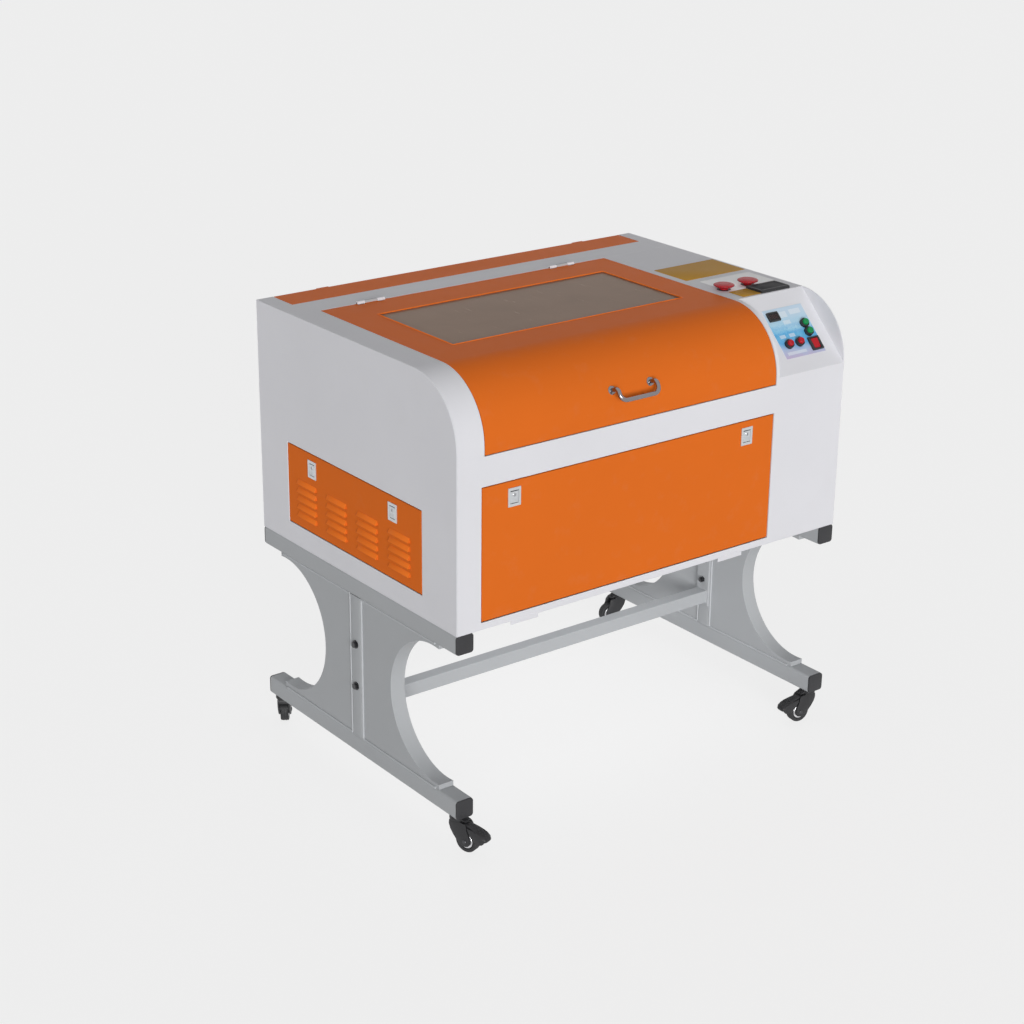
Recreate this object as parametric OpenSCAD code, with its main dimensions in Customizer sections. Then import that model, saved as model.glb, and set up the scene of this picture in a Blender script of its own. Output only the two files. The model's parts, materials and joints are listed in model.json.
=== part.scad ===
// Laser engraver: folded sheet cabinet with a lifting lid, on a tube stand with four casters.
// Millimetres. +X right, +Y back, +Z up. Origin on the floor, under the middle of the cabinet.

/* [Cabinet] */
// Width over the side panels
body_w = 1000; // [900:1:1300]
// Depth from front face to back face
body_d = 706; // [660:1:900]
// Height from base to top
body_h = 500; // [480:1:650]
// Radius of the rounded front top edge
front_r = 135; // [110:1:160]
// Thickness of the folded sheet
sheet = 2; // [1.5:0.1:3]
// Shoulder to the left of the lid
left_shoulder = 65; // [50:1:90]
// Control shoulder to the right of the lid
right_shoulder = 196; // [186:1:260]
// Deck from the back edge of the lid to the back face
rear_deck = 146; // [135:1:190]
// Gap round the lid and the rear cover
panel_gap = 1.5; // [1:0.1:3]
// Seam round the control fascia
fascia_seam = 0.6; // [0.3:0.1:1.2]
// Chamber walls outside the edges of the lid
wall_out = 6; // [5:0.5:12]
// Chamber back wall behind the back edge of the lid
wall_back = 9.5; // [8:0.5:20]
// Depth of the chamber floor below the top
chamber_d = 205.5; // [200:0.5:230]
// Length of the lugs under the front edge
lug_w = 66; // [40:1:90]
// Drop of the lugs under the front edge
lug_drop = 8; // [4:1:15]
// Lugs in from the ends of the front door
lug_in = 70; // [50:1:120]

/* [Lid] */
// Lid edge below the start of the curve
lid_drop = 13; // [6:1:25]
// Lid frame left of the window
window_left = 79; // [50:1:120]
// Lid frame right of the window
window_right = 75.5; // [50:0.5:120]
// Flat lid frame in front of the window
window_front = 77.5; // [50:0.5:100]
// Lid frame behind the window
window_back = 88; // [60:1:110]
// Overlap of the window pane under the frame
window_lap = 10; // [6:1:20]
// Thickness of the window pane
window_t = 3; // [2:0.5:6]
// Depth of the stiffening skirt under the lid
skirt = 14; // [10:1:20]
// Distance between the handle posts
handle_span = 97; // [80:1:140]
// Place of the handle round the curve, in degrees
handle_angle = 23; // [18:1:40]
// Radius of the handle bar
handle_r = 4.5; // [3.5:0.5:6]
// Reach of the handle posts
handle_reach = 20; // [12:1:30]
// Drop of the bar below the posts
handle_drop = 25; // [20:1:45]
// Handle left of the middle of the lid
handle_left = 11; // [0:1:20]

/* [Hinges and pivots] */
// Radius of a hinge knuckle
knuckle_r = 4; // [3.5:0.1:5]
// Radius of a hinge pin
pin_r = 2; // [1.5:0.1:2.5]
// Length of the middle knuckle
knuckle_l = 30; // [20:1:50]
// Length of each outer knuckle
knuckle_end = 18; // [12:1:30]
// Gap between knuckles
knuckle_gap = 0.5; // [0.3:0.1:1]
// Hinge centres in from the ends
hinge_in = 120; // [80:1:180]
// Running clearance round a pin or shaft
run = 0.05; // [0.02:0.01:0.1]

/* [Rear cover] */
// Deck left of the rear cover
cover_left = 42; // [30:1:60]
// Deck right of the rear cover
cover_right = 33; // [25:1:60]
// Depth of the rear cover
cover_d = 74; // [60:1:90]
// Depth of its stiffening flange
cover_flange = 14; // [8:1:20]

/* [Doors] */
// Front door edge left of the lid edge
door_out = 6; // [2:1:10]
// Front door edge left of the right lid edge
door_in = 2; // [0:1:10]
// Front door above the base
door_bottom = 17; // [14:1:30]
// Height of the front door
door_h = 271.5; // [220:0.5:290]
// Gap round the front door and the vent door
door_gap = 2; // [1.6:0.1:3]
// Depth of the door flanges behind the sheet
door_flange = 12; // [9:1:20]
// Depth of the jambs that carry the door pivots
jamb_d = 20; // [14:1:30]
// Pivots in from the face and the lower edge
pivot_in = 4; // [4:0.1:5]
// Vent door back from the front face
vent_front = 116; // [90:1:140]
// Width of the vent door
vent_w = 482; // [440:1:520]
// Vent door above the base
vent_bottom = 48; // [30:1:70]
// Height of the vent door
vent_h = 172; // [160:1:200]
// Length of a louvre
louvre_l = 70; // [50:1:80]
// Height of a louvre
louvre_h = 10; // [6:1:12]
// Reach of a louvre
louvre_out = 5; // [3:0.5:8]
// Distance between louvre rows
louvre_pitch = 18; // [15:1:20]
// Distance between louvre columns
louvre_step = 112; // [95:1:115]
// First louvre row above the lower edge of the vent door
louvre_low = 22; // [18:1:30]

/* [Latches] */
// Width of a latch plate
latch_w = 30; // [28:1:36]
// Height of a latch plate
latch_h = 38; // [36:1:46]
// Thickness of a latch plate
latch_face = 2.5; // [2:0.1:4]
// Depth of the latch housing behind the door face
latch_d = 14; // [12:1:20]
// Latch centre below the top edge of a door
latch_down = 32; // [28:1:40]
// Front latches in from the door ends
latch_in = 74; // [50:1:100]
// Vent latches in from the door ends
latch_in_vent = 95; // [60:1:110]

/* [Controls] */
// Left edge of the control overlay, in from the right side
overlay_in = 143; // [140:1:145]
// Width of the control overlay
overlay_w = 111; // [109:1:116]
// Lower edge of the overlay below the middle of the panel
overlay_low = 60.5; // [57:0.5:66]
// Upper edge of the overlay above the middle of the panel
overlay_high = 56.5; // [54:0.5:62]
// Thickness of the overlay
overlay_t = 0.8; // [0.4:0.1:1.2]
// Radius of a push button
button_r = 7; // [6:0.1:7.4]
// Height of a push button's bezel
bezel_h = 8; // [3:0.5:10]
// Reach of a push button past its bezel
button_out = 5; // [4:0.5:8]
// Push buttons in from the right side
button_in = 52; // [49:1:55]
// Upper push button above the middle of the panel
button_high = 10; // [9:0.5:14]
// Gap between the bezels of the push buttons
button_gap = 1; // [0.5:0.1:2]
// Left red button in from the right side
red_in_left = 120; // [116:1:124]
// Right red button in from the right side
red_in_right = 90; // [86:1:94]
// Red buttons below the middle of the panel
red_low = 29.5; // [26:0.5:34]
// Rocker switch in from the right side
rocker_in = 50; // [48:1:54]
// Rocker switch below the middle of the panel
rocker_low = 39.5; // [38.5:0.5:43]
// Width and height of the rocker bezel
rocker_bezel = 30; // [29:0.5:31]
// Reach of the rocker bezel from the panel
rocker_out = 5; // [3:0.5:7]
// Width of the display bezel
display_w = 31; // [28:1:34]
// Height of the display bezel
display_h = 21; // [18:1:24]
// Display in from the right side
display_in = 122; // [119:1:124]
// Display above the middle of the panel
display_high = 38.5; // [37:0.5:42]
// Radius of a stop button head
stop_r = 22; // [19:0.5:24]
// Height of a stop button head
stop_h = 8.5; // [7:0.5:14]
// Free travel under a stop button head
stop_gap = 3; // [2.8:0.1:5]
// Stop buttons behind the end of the curve
stop_back = 75; // [72:1:90]
// Left stop button in from the right side
stop_in_left = 157; // [148:1:160]
// Right stop button in from the right side
stop_in_right = 89; // [60:1:96]
// Width of the meter
meter_w = 80; // [65:1:85]
// Depth of the meter
meter_d = 49; // [42:1:52]
// Meter centre in from the right side
meter_in = 74; // [65:0.5:95]
// Meter centre behind the end of the curve
meter_back = 28.5; // [27:0.5:31]

/* [Stand] */
// Height of the stand with its casters
stand_h = 470; // [420:1:560]
// Side of the square tube
tube = 40; // [36:1:50]
// Wall of the square tube
tube_wall = 2; // [1.5:0.1:3]
// Thickness of the end caps
cap_t = 4; // [2:0.5:8]
// Gusset sheets in from the tube faces
gusset_in = 3; // [2:0.5:6]
// Half width of the gussets at the waist
gusset_waist = 122; // [90:1:150]
// Lip of the gussets above the foot tube
gusset_lip = 10; // [6:1:20]
// Lip of the gussets under the top rail
gusset_top_lip = 8; // [6:1:20]
// Toe of the gussets past the middle of the curve
gusset_toe = 20; // [10:1:26]
// Underside of the cross beam above the floor
beam_low = 176; // [150:1:200]
// Side of the square cross beam
beam_side = 30; // [24:1:36]
// Thickness of the end plates of the beam
plate_t = 6; // [4:0.5:10]
// Lower beam bolt above the underside of the beam
bolt_up = 54; // [46:1:70]
// Distance between the beam bolts
bolt_pitch = 94; // [60:1:110]
// Radius of the beam bolts
bolt_r = 4; // [3:0.5:5]

/* [Casters] */
// Height of a caster
caster_h = 75; // [72:1:90]
// Swivel axis in from the end of the foot tube
caster_in = 24; // [24:1:40]
// Radius of a wheel
wheel_r = 25; // [22:0.5:25]
// Width of a wheel
wheel_w = 18; // [14:1:22]
// Trail of the wheel axle behind the swivel axis
trail = 25; // [22:1:28]
// Thickness of the fork cheeks
cheek_t = 4; // [3:0.5:6]
// Gap between a wheel and its fork
wheel_gap = 0.8; // [0.5:0.1:1.5]
// Radius of the wheel axle
axle_r = 4; // [3:0.5:5]
// Radius of the swivel stud
stud_r = 6; // [5:0.5:8]
// Radius of the fork hub
hub_r = 17; // [15:0.5:18]

/* [Motion] */
// Rails in from the chamber walls
rail_in = 40; // [36:1:60]
// Width of a rail
rail_w = 20; // [16:1:24]
// Height of a rail
rail_h = 12; // [10:1:16]
// Rails above the chamber floor
rail_rise = 86; // [80:1:95]
// Gap of the sliding blocks
slide_gap = 0.3; // [0.2:0.1:0.5]
// Length of a gantry carriage
carriage_l = 60; // [50:1:70]
// Parked gantry in front of the chamber back wall
park_back = 56; // [54:1:65]
// Foremost gantry place behind the front face
front_clear = 115; // [110:1:130]
// Depth of the gantry beam
gantry_d = 24; // [20:1:26]
// Height of the gantry beam
gantry_h = 35; // [34:1:40]
// Drive pulley radius
pulley_r = 8; // [6:0.5:9]
// Belt width
belt_w = 8; // [6:1:10]
// Belt thickness
belt_t = 1.5; // [1:0.1:2]
// Radius of the drive shaft
shaft_r = 4; // [3:0.5:5]
// Side of the motor that drives the shaft
motor = 56; // [50:1:57]
// Side of the motor on the gantry
small_motor = 42; // [38:1:44]
// Bed in from the chamber walls
bed_in = 72; // [68:1:90]
// Bed behind the front face
bed_front = 78; // [60:1:95]
// Height of the bed feet
bed_rise = 30; // [20:1:34]
// Height of the bed frame
bed_h = 20; // [16:1:24]
// Length of the belt idler housing on the gantry
idler_l = 18; // [14:1:24]
// Length of the body of the motor on the gantry
small_motor_l = 30; // [24:1:40]
// Width of the plates of the laser head
head_w = 54; // [48:1:60]
// How far the top plate of the head reaches in front of the gantry
head_plate_d = 20; // [18:1:24]
// How far the block of the head reaches in front of the gantry
head_reach = 50; // [46:1:60]
// Depth of the block of the head
head_block_d = 33; // [30:1:36]
// Width of the block of the head
head_block_w = 34; // [28:1:40]
// Height of the tip of the nozzle over the bed
nozzle_gap = 10; // [6:1:14]
// Length of the cone of the nozzle
nozzle_l = 20; // [16:1:24]
// Width of the bed frame bars
bed_bar = 15; // [12:1:20]

/* [Laser] */
// Radius of the laser tube
tube_r = 25; // [20:1:26]
// Length of the laser tube
tube_l = 700; // [600:1:760]
// Length of the narrow tips of the laser tube
tube_tip = 18; // [12:1:24]
// Gap between the laser tube and the first mirror
tube_gap = 1; // [0.5:0.5:10]
// Distance of each holder from its end of the laser tube
holder_in = 125; // [100:5:180]
// Width of the first mirror block
mirror_w = 28; // [24:1:34]
// Laser tube in front of the back face
tube_in = 53; // [50:1:60]
// Laser tube below the top
tube_down = 38; // [36:1:44]
// Radius of the exhaust spigot
spigot_r = 50; // [40:1:60]
// Length of the exhaust spigot
spigot_l = 36; // [20:1:45]
// Exhaust spigot above the base
spigot_up = 190; // [150:1:220]

/* [Electrics] */
// Mains inlet in from the right side
inlet_in = 110; // [80:1:150]
// Mains inlet and water nipples above the base
inlet_up = 60; // [40:1:90]
// First water nipple in from the right side
nipple_in = 210; // [180:1:260]
// Distance between the water nipples
nipple_step = 30; // [20:1:50]
// Supply boxes right of the chamber wall
supply_gap = 18; // [10:1:30]
// Supply boxes in from the right side panel
supply_side = 20; // [10:1:30]
// Depth of the power supply
supply_d = 250; // [200:1:280]
// Height of the power supply
supply_h = 120; // [90:1:140]
// Power supply in front of the back face
supply_back = 163; // [130:1:180]
// Depth of the control box
board_d = 170; // [120:1:190]
// Height of the control box
board_h = 55; // [40:1:80]
// Control box behind the front face
board_front = 63; // [45:1:80]

/* [Hidden] */
$fn = 64;
x_l = -body_w / 2;
x_r = body_w / 2;
y_f = -body_d / 2;
y_b = body_d / 2;
z_b = stand_h;
z_t = stand_h + body_h;
arc_y = y_f + front_r;
arc_z = z_t - front_r;

lid_x0 = x_l + left_shoulder;
lid_x1 = x_r - right_shoulder;
lid_mid = (lid_x0 + lid_x1) / 2;
lid_y1 = y_b - rear_deck;
lid_z0 = arc_z - lid_drop;
lid_hinges = [lid_x0 + hinge_in, lid_x1 - hinge_in];
hinge_y = lid_y1 + panel_gap / 2;
hinge_z = z_t + 1;
hinge_l = knuckle_l + 2 * (knuckle_gap + knuckle_end);
end_mid = knuckle_l / 2 + knuckle_gap + knuckle_end / 2;
notch = knuckle_r + 3;
win_x0 = lid_x0 + window_left;
win_x1 = lid_x1 - window_right;
win_y0 = arc_y + window_front;
win_y1 = lid_y1 - window_back;

cover_x0 = x_l + cover_left;
cover_x1 = x_r - cover_right;
cover_y0 = y_b - cover_d;
cover_hinges = [cover_x0 + hinge_in, cover_x1 - hinge_in];
cover_axis_y = y_b + knuckle_r;
cover_axis_z = z_t - sheet - knuckle_r;

door_x0 = lid_x0 - door_out;
door_x1 = lid_x1 - door_in;
door_w = door_x1 - door_x0;
door_z0 = z_b + door_bottom;
door_z1 = door_z0 + door_h;
vent_y0 = y_f + vent_front;
vent_y1 = vent_y0 + vent_w;
vent_z0 = z_b + vent_bottom;
vent_z1 = vent_z0 + vent_h;
pocket_w = latch_w / 2 - 5;
pocket_h = latch_h / 2 - 6;
housing_w = latch_w / 2 - 3;
housing_h = latch_h / 2 - 4;
paddle_axis = pocket_h - 4;
paddle_pin = 1.2;

wall_x0 = lid_x0 - wall_out;
wall_x1 = lid_x1 + wall_out;
wall_y1 = lid_y1 + wall_back;
wall_y0 = y_f + sheet + jamb_d;
floor_z = z_t - chamber_d;
floor_z0 = floor_z - sheet;
cheek_z0 = door_z1 + door_gap + 2;

handle_ball = handle_r + 0.2;

glue = 0.1;
sleeve_r = button_r + 1.5;
flange_r = button_r + 3;
rim_x = wall_x1 + 2 * sheet;
panel_y = (y_f + arc_y) / 2;
panel_z = (arc_z + z_t) / 2;
push_places = [[button_in, button_high],
               [button_in, button_high - 2 * flange_r - button_gap],
               [red_in_left, -red_low],
               [red_in_right, -red_low]];
rocker_w = rocker_bezel - 12;
rocker_l = rocker_bezel - 9;
rocker_clear = 1.8;
stem_r = 9;
collar_r = 15;
collar_h = 1;
stop_y = arc_y + stop_back;
meter_x = x_r - meter_in;
meter_y = arc_y + meter_back;

foot_z = caster_h + tube;
rail_under = stand_h - tube;
gusset_r = (rail_under - gusset_top_lip - foot_z - gusset_lip) / 2;
gusset_cy = gusset_waist + gusset_r;
gusset_cz = foot_z + gusset_lip + gusset_r;
gusset_w = tube - 2 * gusset_in;
bolt_zs = [beam_low + bolt_up, beam_low + bolt_up + bolt_pitch];
plate_z0 = beam_low - 8;
plate_z1 = bolt_zs[1] + 21;

caster_x = [x_l + tube / 2, x_r - tube / 2, x_l + tube / 2, x_r - tube / 2];
caster_y = [y_f + caster_in, y_f + caster_in, y_b - caster_in, y_b - caster_in];
plug_l = min(12, caster_in - 1.6 * stud_r - cap_t - 1);
caster_heading = [-72, 173, 55, 168];
hub_z0 = 2 * wheel_r + 4;
hub_z1 = caster_h - 0.5;
fork_in = wheel_w / 2 + wheel_gap;
fork_out = fork_in + cheek_t;
pedal_u = 25;
pedal_z = hub_z0 + 4;
pedal_pin = 2.5;

home_y = wall_y1 - park_back;
rail_x0 = wall_x0 + rail_in;
rail_x1 = wall_x1 - rail_in;
rail_z = floor_z + rail_rise;
post = rail_w;
shaft_y = home_y + 35;
shaft_z = rail_z - 20;
rail_y0 = y_f + front_clear - carriage_l / 2 - 20;
rail_y1 = shaft_y + 12;
tension_y = rail_y0 + 35;
belt_mid = rail_w / 2 + 8;
belt_in = pulley_r + 0.3;
belt_out = belt_in + belt_t;
car_z0 = rail_z + rail_h + slide_gap;
gan_z0 = car_z0 + 17;
gan_z1 = gan_z0 + gantry_h;
gan_x0 = wall_x0 + 16;
gan_x1 = wall_x1 - 8;
gan_f = home_y - gantry_d / 2;
gan_b = home_y + gantry_d / 2;
xm_x = gan_x1 + 2 - small_motor / 2;
xm_z = gan_z0 + small_motor / 2 + 1;
bed_x0 = wall_x0 + bed_in;
bed_x1 = wall_x1 - bed_in;
bed_y0 = y_f + bed_front;
bed_y1 = home_y - 15;
bed_z0 = floor_z + bed_rise;
bed_z1 = bed_z0 + bed_h;
head_x = bed_x0 + 6;
head_y = gan_f - head_reach + head_block_w / 2;
beam_x = wall_x0 + 28;

laser_y = y_b - tube_in;
laser_z = z_t - tube_down;
laser_x0 = beam_x + mirror_w / 2 + tube_gap + tube_tip;
laser_x1 = laser_x0 + tube_l;
holder_xs = [laser_x0 + holder_in, laser_x1 - holder_in];
spigot_z = z_b + spigot_up;

white = [0.9, 0.9, 0.91];
orange = [0.9, 0.42, 0.12];
grey = [0.62, 0.63, 0.65];
black = [0.08, 0.08, 0.09];
metal = [0.75, 0.76, 0.78];

// Helpers
module span(a, b) {
  translate(a)
    cube(b - a);
}

module along_x(x0, x1) {
  translate([x0, 0, 0])
    rotate([90, 0, 90])
      linear_extrude(height = x1 - x0)
        children();
}

module pin_x(x0, x1, y, z, r) {
  translate([x0, y, z])
    rotate([0, 90, 0])
      cylinder(h = x1 - x0, r = r);
}

module pin_y(y0, y1, x, z, r) {
  translate([x, y0, z])
    rotate([-90, 0, 0])
      cylinder(h = y1 - y0, r = r);
}

module pin_z(z0, z1, x, y, r) {
  translate([x, y, z0])
    cylinder(h = z1 - z0, r = r);
}

// Side outline of the cabinet, moved in by inset, from the height low upwards
module side_profile(inset, low) {
  difference() {
    translate([y_f + inset, low])
      square([body_d - 2 * inset, z_t - inset - low]);
    difference() {
      translate([y_f - 1, arc_z])
        square([front_r + 1, front_r + 1]);
      translate([arc_y, arc_z])
        circle(r = front_r - inset);
    }
  }
}

// Side outline with the rounded edge cut off flat, as the control panel has it
module panel_profile(inset, low) {
  corner = inset * tan(22.5);
  polygon([[y_f + inset, low], [y_f + inset, arc_z - corner], [arc_y + corner, z_t - inset],
           [y_b - inset, z_t - inset], [y_b - inset, low]]);
}

// Part of an outline from the height low up and over to back
module stretch(low, back) {
  intersection() {
    children();
    translate([y_f - 1, low])
      square([back - y_f + 1, z_t - low + 1]);
  }
}

// Band of the side outline, depth thick, from the height low up and over to back
module band(depth, low, back) {
  stretch(low, back)
    difference() {
      side_profile(0, z_b);
      side_profile(depth, z_b - 1);
    }
}

// Puts children on the rounded front edge at a place x and an angle up from level
module on_curve(x, angle) {
  translate([x, arc_y, arc_z])
    rotate([90 - angle, 0, 0])
      translate([0, 0, front_r])
        children();
}

// Puts children on the flat control panel, at a place in from the right side and up from its middle
module on_panel(place) {
  translate([x_r - place[0], panel_y, panel_z])
    rotate([45, 0, 0])
      translate([0, place[1], 0])
        children();
}

// The rounded edge itself, seen from on_curve, for seating pieces on it
module curve_body() {
  translate([0, 0, -front_r])
    rotate([0, 90, 0])
      cylinder(h = 400, r = front_r, center = true, $fn = 180);
}

// Stand
module stand_frame(side) {
  x0 = side < 0 ? x_l : x_r - tube;
  color(grey)
    difference() {
      union() {
        span([x0, y_f + cap_t, rail_under], [x0 + tube, y_b - cap_t, stand_h]);
        span([x0, y_f + cap_t, caster_h], [x0 + tube, y_b - cap_t, foot_z]);
        span([x0, -tube / 2, foot_z - 0.5], [x0 + tube, tube / 2, rail_under + 0.5]);
      }
      for (z = [rail_under, caster_h])
        span([x0 + tube_wall, y_f, z + tube_wall], [x0 + tube - tube_wall, y_b, z + tube - tube_wall]);
      span([x0 + tube_wall, -tube / 2 + tube_wall, foot_z],
           [x0 + tube - tube_wall, tube / 2 - tube_wall, rail_under]);
      for (y = [y_f + caster_in, y_b - caster_in])
        pin_z(caster_h - 1, caster_h + tube_wall + 1, x0 + tube / 2, y, stud_r + run);
      for (z = bolt_zs)
        pin_x(x0 - 1, x0 + tube + 1, 0, z, bolt_r + run);
    }
}

module stand_left_frame() {
  stand_frame(-1);
}

module stand_right_frame() {
  stand_frame(1);
}

// Outline of the front gusset; cut is how far the curve is moved in
module gusset_outline(cut) {
  difference() {
    translate([-gusset_cy - gusset_toe + cut, foot_z])
      square([gusset_cy + gusset_toe - cut - tube / 2, rail_under - foot_z]);
    translate([-gusset_cy, gusset_cz])
      circle(r = gusset_r + cut);
  }
}

module gusset() {
  difference() {
    along_x(gusset_in, gusset_in + gusset_w)
      gusset_outline(0);
    along_x(gusset_in + sheet, gusset_in + gusset_w - sheet)
      gusset_outline(sheet);
  }
}

module stand_gussets() {
  color(grey)
    for (x = [x_l, x_r - tube])
      translate([x, 0, 0]) {
        gusset();
        mirror([0, 1, 0])
          gusset();
      }
}

module cross_beam() {
  x0 = x_l + tube;
  x1 = x_r - tube;
  color(grey)
    difference() {
      union() {
        difference() {
          span([x0 + plate_t - 1, -beam_side / 2, beam_low],
               [x1 - plate_t + 1, beam_side / 2, beam_low + beam_side]);
          span([x0, -beam_side / 2 + tube_wall, beam_low + tube_wall],
               [x1, beam_side / 2 - tube_wall, beam_low + beam_side - tube_wall]);
        }
        span([x0, -tube / 2, plate_z0], [x0 + plate_t, tube / 2, plate_z1]);
        span([x1 - plate_t, -tube / 2, plate_z0], [x1, tube / 2, plate_z1]);
      }
      for (z = bolt_zs)
        pin_x(x0 - 1, x1 + 1, 0, z, bolt_r + run);
    }
}

module beam_bolt() {
  head_r = bolt_r + 3;
  pin_x(-0.5, tube + plate_t + 10, 0, 0, bolt_r);
  pin_x(-2, 0, 0, 0, head_r + 2);
  translate([-7, 0, 0])
    rotate([0, 90, 0])
      cylinder(h = 5, r = head_r, $fn = 6);
  translate([tube + plate_t, 0, 0])
    rotate([0, 90, 0])
      cylinder(h = 6.5, r = head_r, $fn = 6);
}

module beam_bolts() {
  color(black)
    for (z = bolt_zs) {
      translate([x_l, 0, z])
        beam_bolt();
      translate([x_r, 0, z])
        mirror([1, 0, 0])
          beam_bolt();
    }
}

module tube_end_caps() {
  plug = tube - 2 * tube_wall;
  color(black)
    for (x = [x_l, x_r - tube], z = [caster_h, rail_under], s = [-1, 1])
      translate([x + tube / 2, s * (y_b - cap_t), z + tube / 2]) {
        translate([-tube / 2, s < 0 ? -cap_t : 0, -tube / 2])
          cube([tube, cap_t, tube]);
        translate([-plug / 2, s < 0 ? -0.5 : -plug_l, -plug / 2])
          cube([plug, plug_l + 0.5, plug]);
      }
}

// Cabinet
module base_pan() {
  color(white) {
    span([x_l, y_f, z_b], [x_r, y_b, z_b + sheet]);
    for (x = [door_x0 + lug_in, door_x1 - lug_in - lug_w])
      span([x, y_f, z_b - lug_drop], [x + lug_w, y_f + sheet, z_b + sheet / 2]);
  }
}

module left_side_panel() {
  color(white) {
    difference() {
      along_x(x_l, x_l + sheet)
        side_profile(0, z_b + sheet);
      span([x_l - 1, vent_y0 - door_gap, vent_z0 - door_gap],
           [x_l + sheet + 1, vent_y1 + door_gap, vent_z1 + door_gap]);
    }
    for (y = [vent_y0 - door_gap - sheet, vent_y1 + door_gap])
      span([x_l + sheet / 2, y, vent_z0 - door_gap], [x_l + sheet + jamb_d, y + sheet, vent_z1 + door_gap]);
  }
}

module right_side_panel() {
  slot_l = 90;
  color(white)
    difference() {
      along_x(x_r - sheet, x_r)
        side_profile(0, z_b + sheet);
      for (row = [0:6], col = [0:2])
        span([x_r - sheet - 1, -190 + col * 130, z_b + 70 + row * 16],
             [x_r + 1, -190 + slot_l + col * 130, z_b + 75 + row * 16]);
    }
}

module back_panel() {
  color(white)
    difference() {
      union() {
        difference() {
          span([x_l + sheet, y_b - sheet, z_b + sheet], [x_r - sheet, y_b, z_t - sheet]);
          span([cover_x0 - panel_gap, y_b - sheet - 1, z_t - sheet - 1],
               [cover_x1 + panel_gap, y_b + 1, z_t]);
          pin_y(y_b - sheet - 1, y_b + 1, lid_mid, spigot_z, spigot_r - sheet);
        }
        for (x = cover_hinges, s = [-1, 1])
          translate([x + s * end_mid, 0, 0]) {
            pin_x(-knuckle_end / 2, knuckle_end / 2, cover_axis_y, cover_axis_z, knuckle_r);
            span([-knuckle_end / 2, y_b - sheet / 2, cover_axis_z - knuckle_r],
                 [knuckle_end / 2, cover_axis_y, cover_axis_z]);
          }
      }
      for (x = cover_hinges)
        pin_x(x - hinge_l / 2 - 1, x + hinge_l / 2 + 1, cover_axis_y, cover_axis_z, pin_r);
    }
}

module skin_profile() {
  difference() {
    side_profile(0, z_b + sheet);
    side_profile(sheet, z_b);
    translate([0, z_b])
      square([y_b + 1, body_h - sheet]);
  }
}

module cabinet_skin() {
  color(white)
    difference() {
      union() {
        difference() {
          along_x(x_l + sheet, x_r - sheet)
            skin_profile();
          span([lid_x0 - panel_gap, y_f - 1, lid_z0 - panel_gap], [x_r, lid_y1 + panel_gap, z_t + 1]);
          span([door_x0 - door_gap, y_f - 1, door_z0 - door_gap],
               [door_x1 + door_gap, y_f + sheet + 1, door_z1 + door_gap]);
          span([cover_x0 - panel_gap, cover_y0 - panel_gap, z_t - sheet - 1],
               [cover_x1 + panel_gap, y_b + 1, z_t + 1]);
          for (x = lid_hinges)
            span([x - knuckle_l / 2 - 1, lid_y1, z_t - sheet - 1],
                 [x + knuckle_l / 2 + 1, lid_y1 + panel_gap + notch - 1, z_t + 1]);
        }
        for (x = [door_x0 - door_gap - sheet, door_x1 + door_gap])
          span([x, y_f + sheet / 2, z_b + sheet], [x + sheet, y_f + sheet + jamb_d, door_z1 + door_gap]);
        for (x = lid_hinges, s = [-1, 1])
          pin_x(x + s * end_mid - knuckle_end / 2, x + s * end_mid + knuckle_end / 2,
                hinge_y, hinge_z, knuckle_r);
      }
      for (x = lid_hinges)
        pin_x(x - hinge_l / 2 - 1, x + hinge_l / 2 + 1, hinge_y, hinge_z, pin_r);
    }
}

// Cuts through the panel for the push buttons, of the radius r, and for the rocker and the display
module panel_cuts(r, wider) {
  for (place = push_places)
    on_panel(place)
      cylinder(h = 40, r = r, center = true);
  on_panel([rocker_in, -rocker_low])
    cube([rocker_bezel + wider, rocker_bezel + wider, 40], center = true);
  on_panel([display_in, display_high])
    cube([display_w + wider, display_h + wider, 40], center = true);
}

// A curved rim beside the lid, a cheek down to the panel and the panel with its deck and front
module control_fascia() {
  low = lid_z0 - panel_gap + fascia_seam;
  back = lid_y1 + panel_gap - fascia_seam;
  color(white)
    difference() {
      union() {
        along_x(lid_x1 + panel_gap, rim_x)
          band(sheet, low, back);
        along_x(rim_x - sheet, rim_x)
          stretch(low, back)
            difference() {
              side_profile(0, z_b);
              panel_profile(sheet, z_b - 1);
            }
        along_x(rim_x - sheet / 2, x_r - sheet)
          stretch(low, back)
            difference() {
              panel_profile(0, z_b);
              panel_profile(sheet, z_b - 1);
            }
      }
      panel_cuts(sleeve_r, -4);
      for (x = [stop_in_left, stop_in_right])
        pin_z(z_t - sheet - 1, z_t + 1, x_r - x, stop_y, stem_r + 2);
      span([meter_x - meter_w / 2 + 5, meter_y - meter_d / 2 + 5, z_t - sheet - 1],
           [meter_x + meter_w / 2 - 5, meter_y + meter_d / 2 - 5, z_t + 1]);
    }
}

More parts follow.
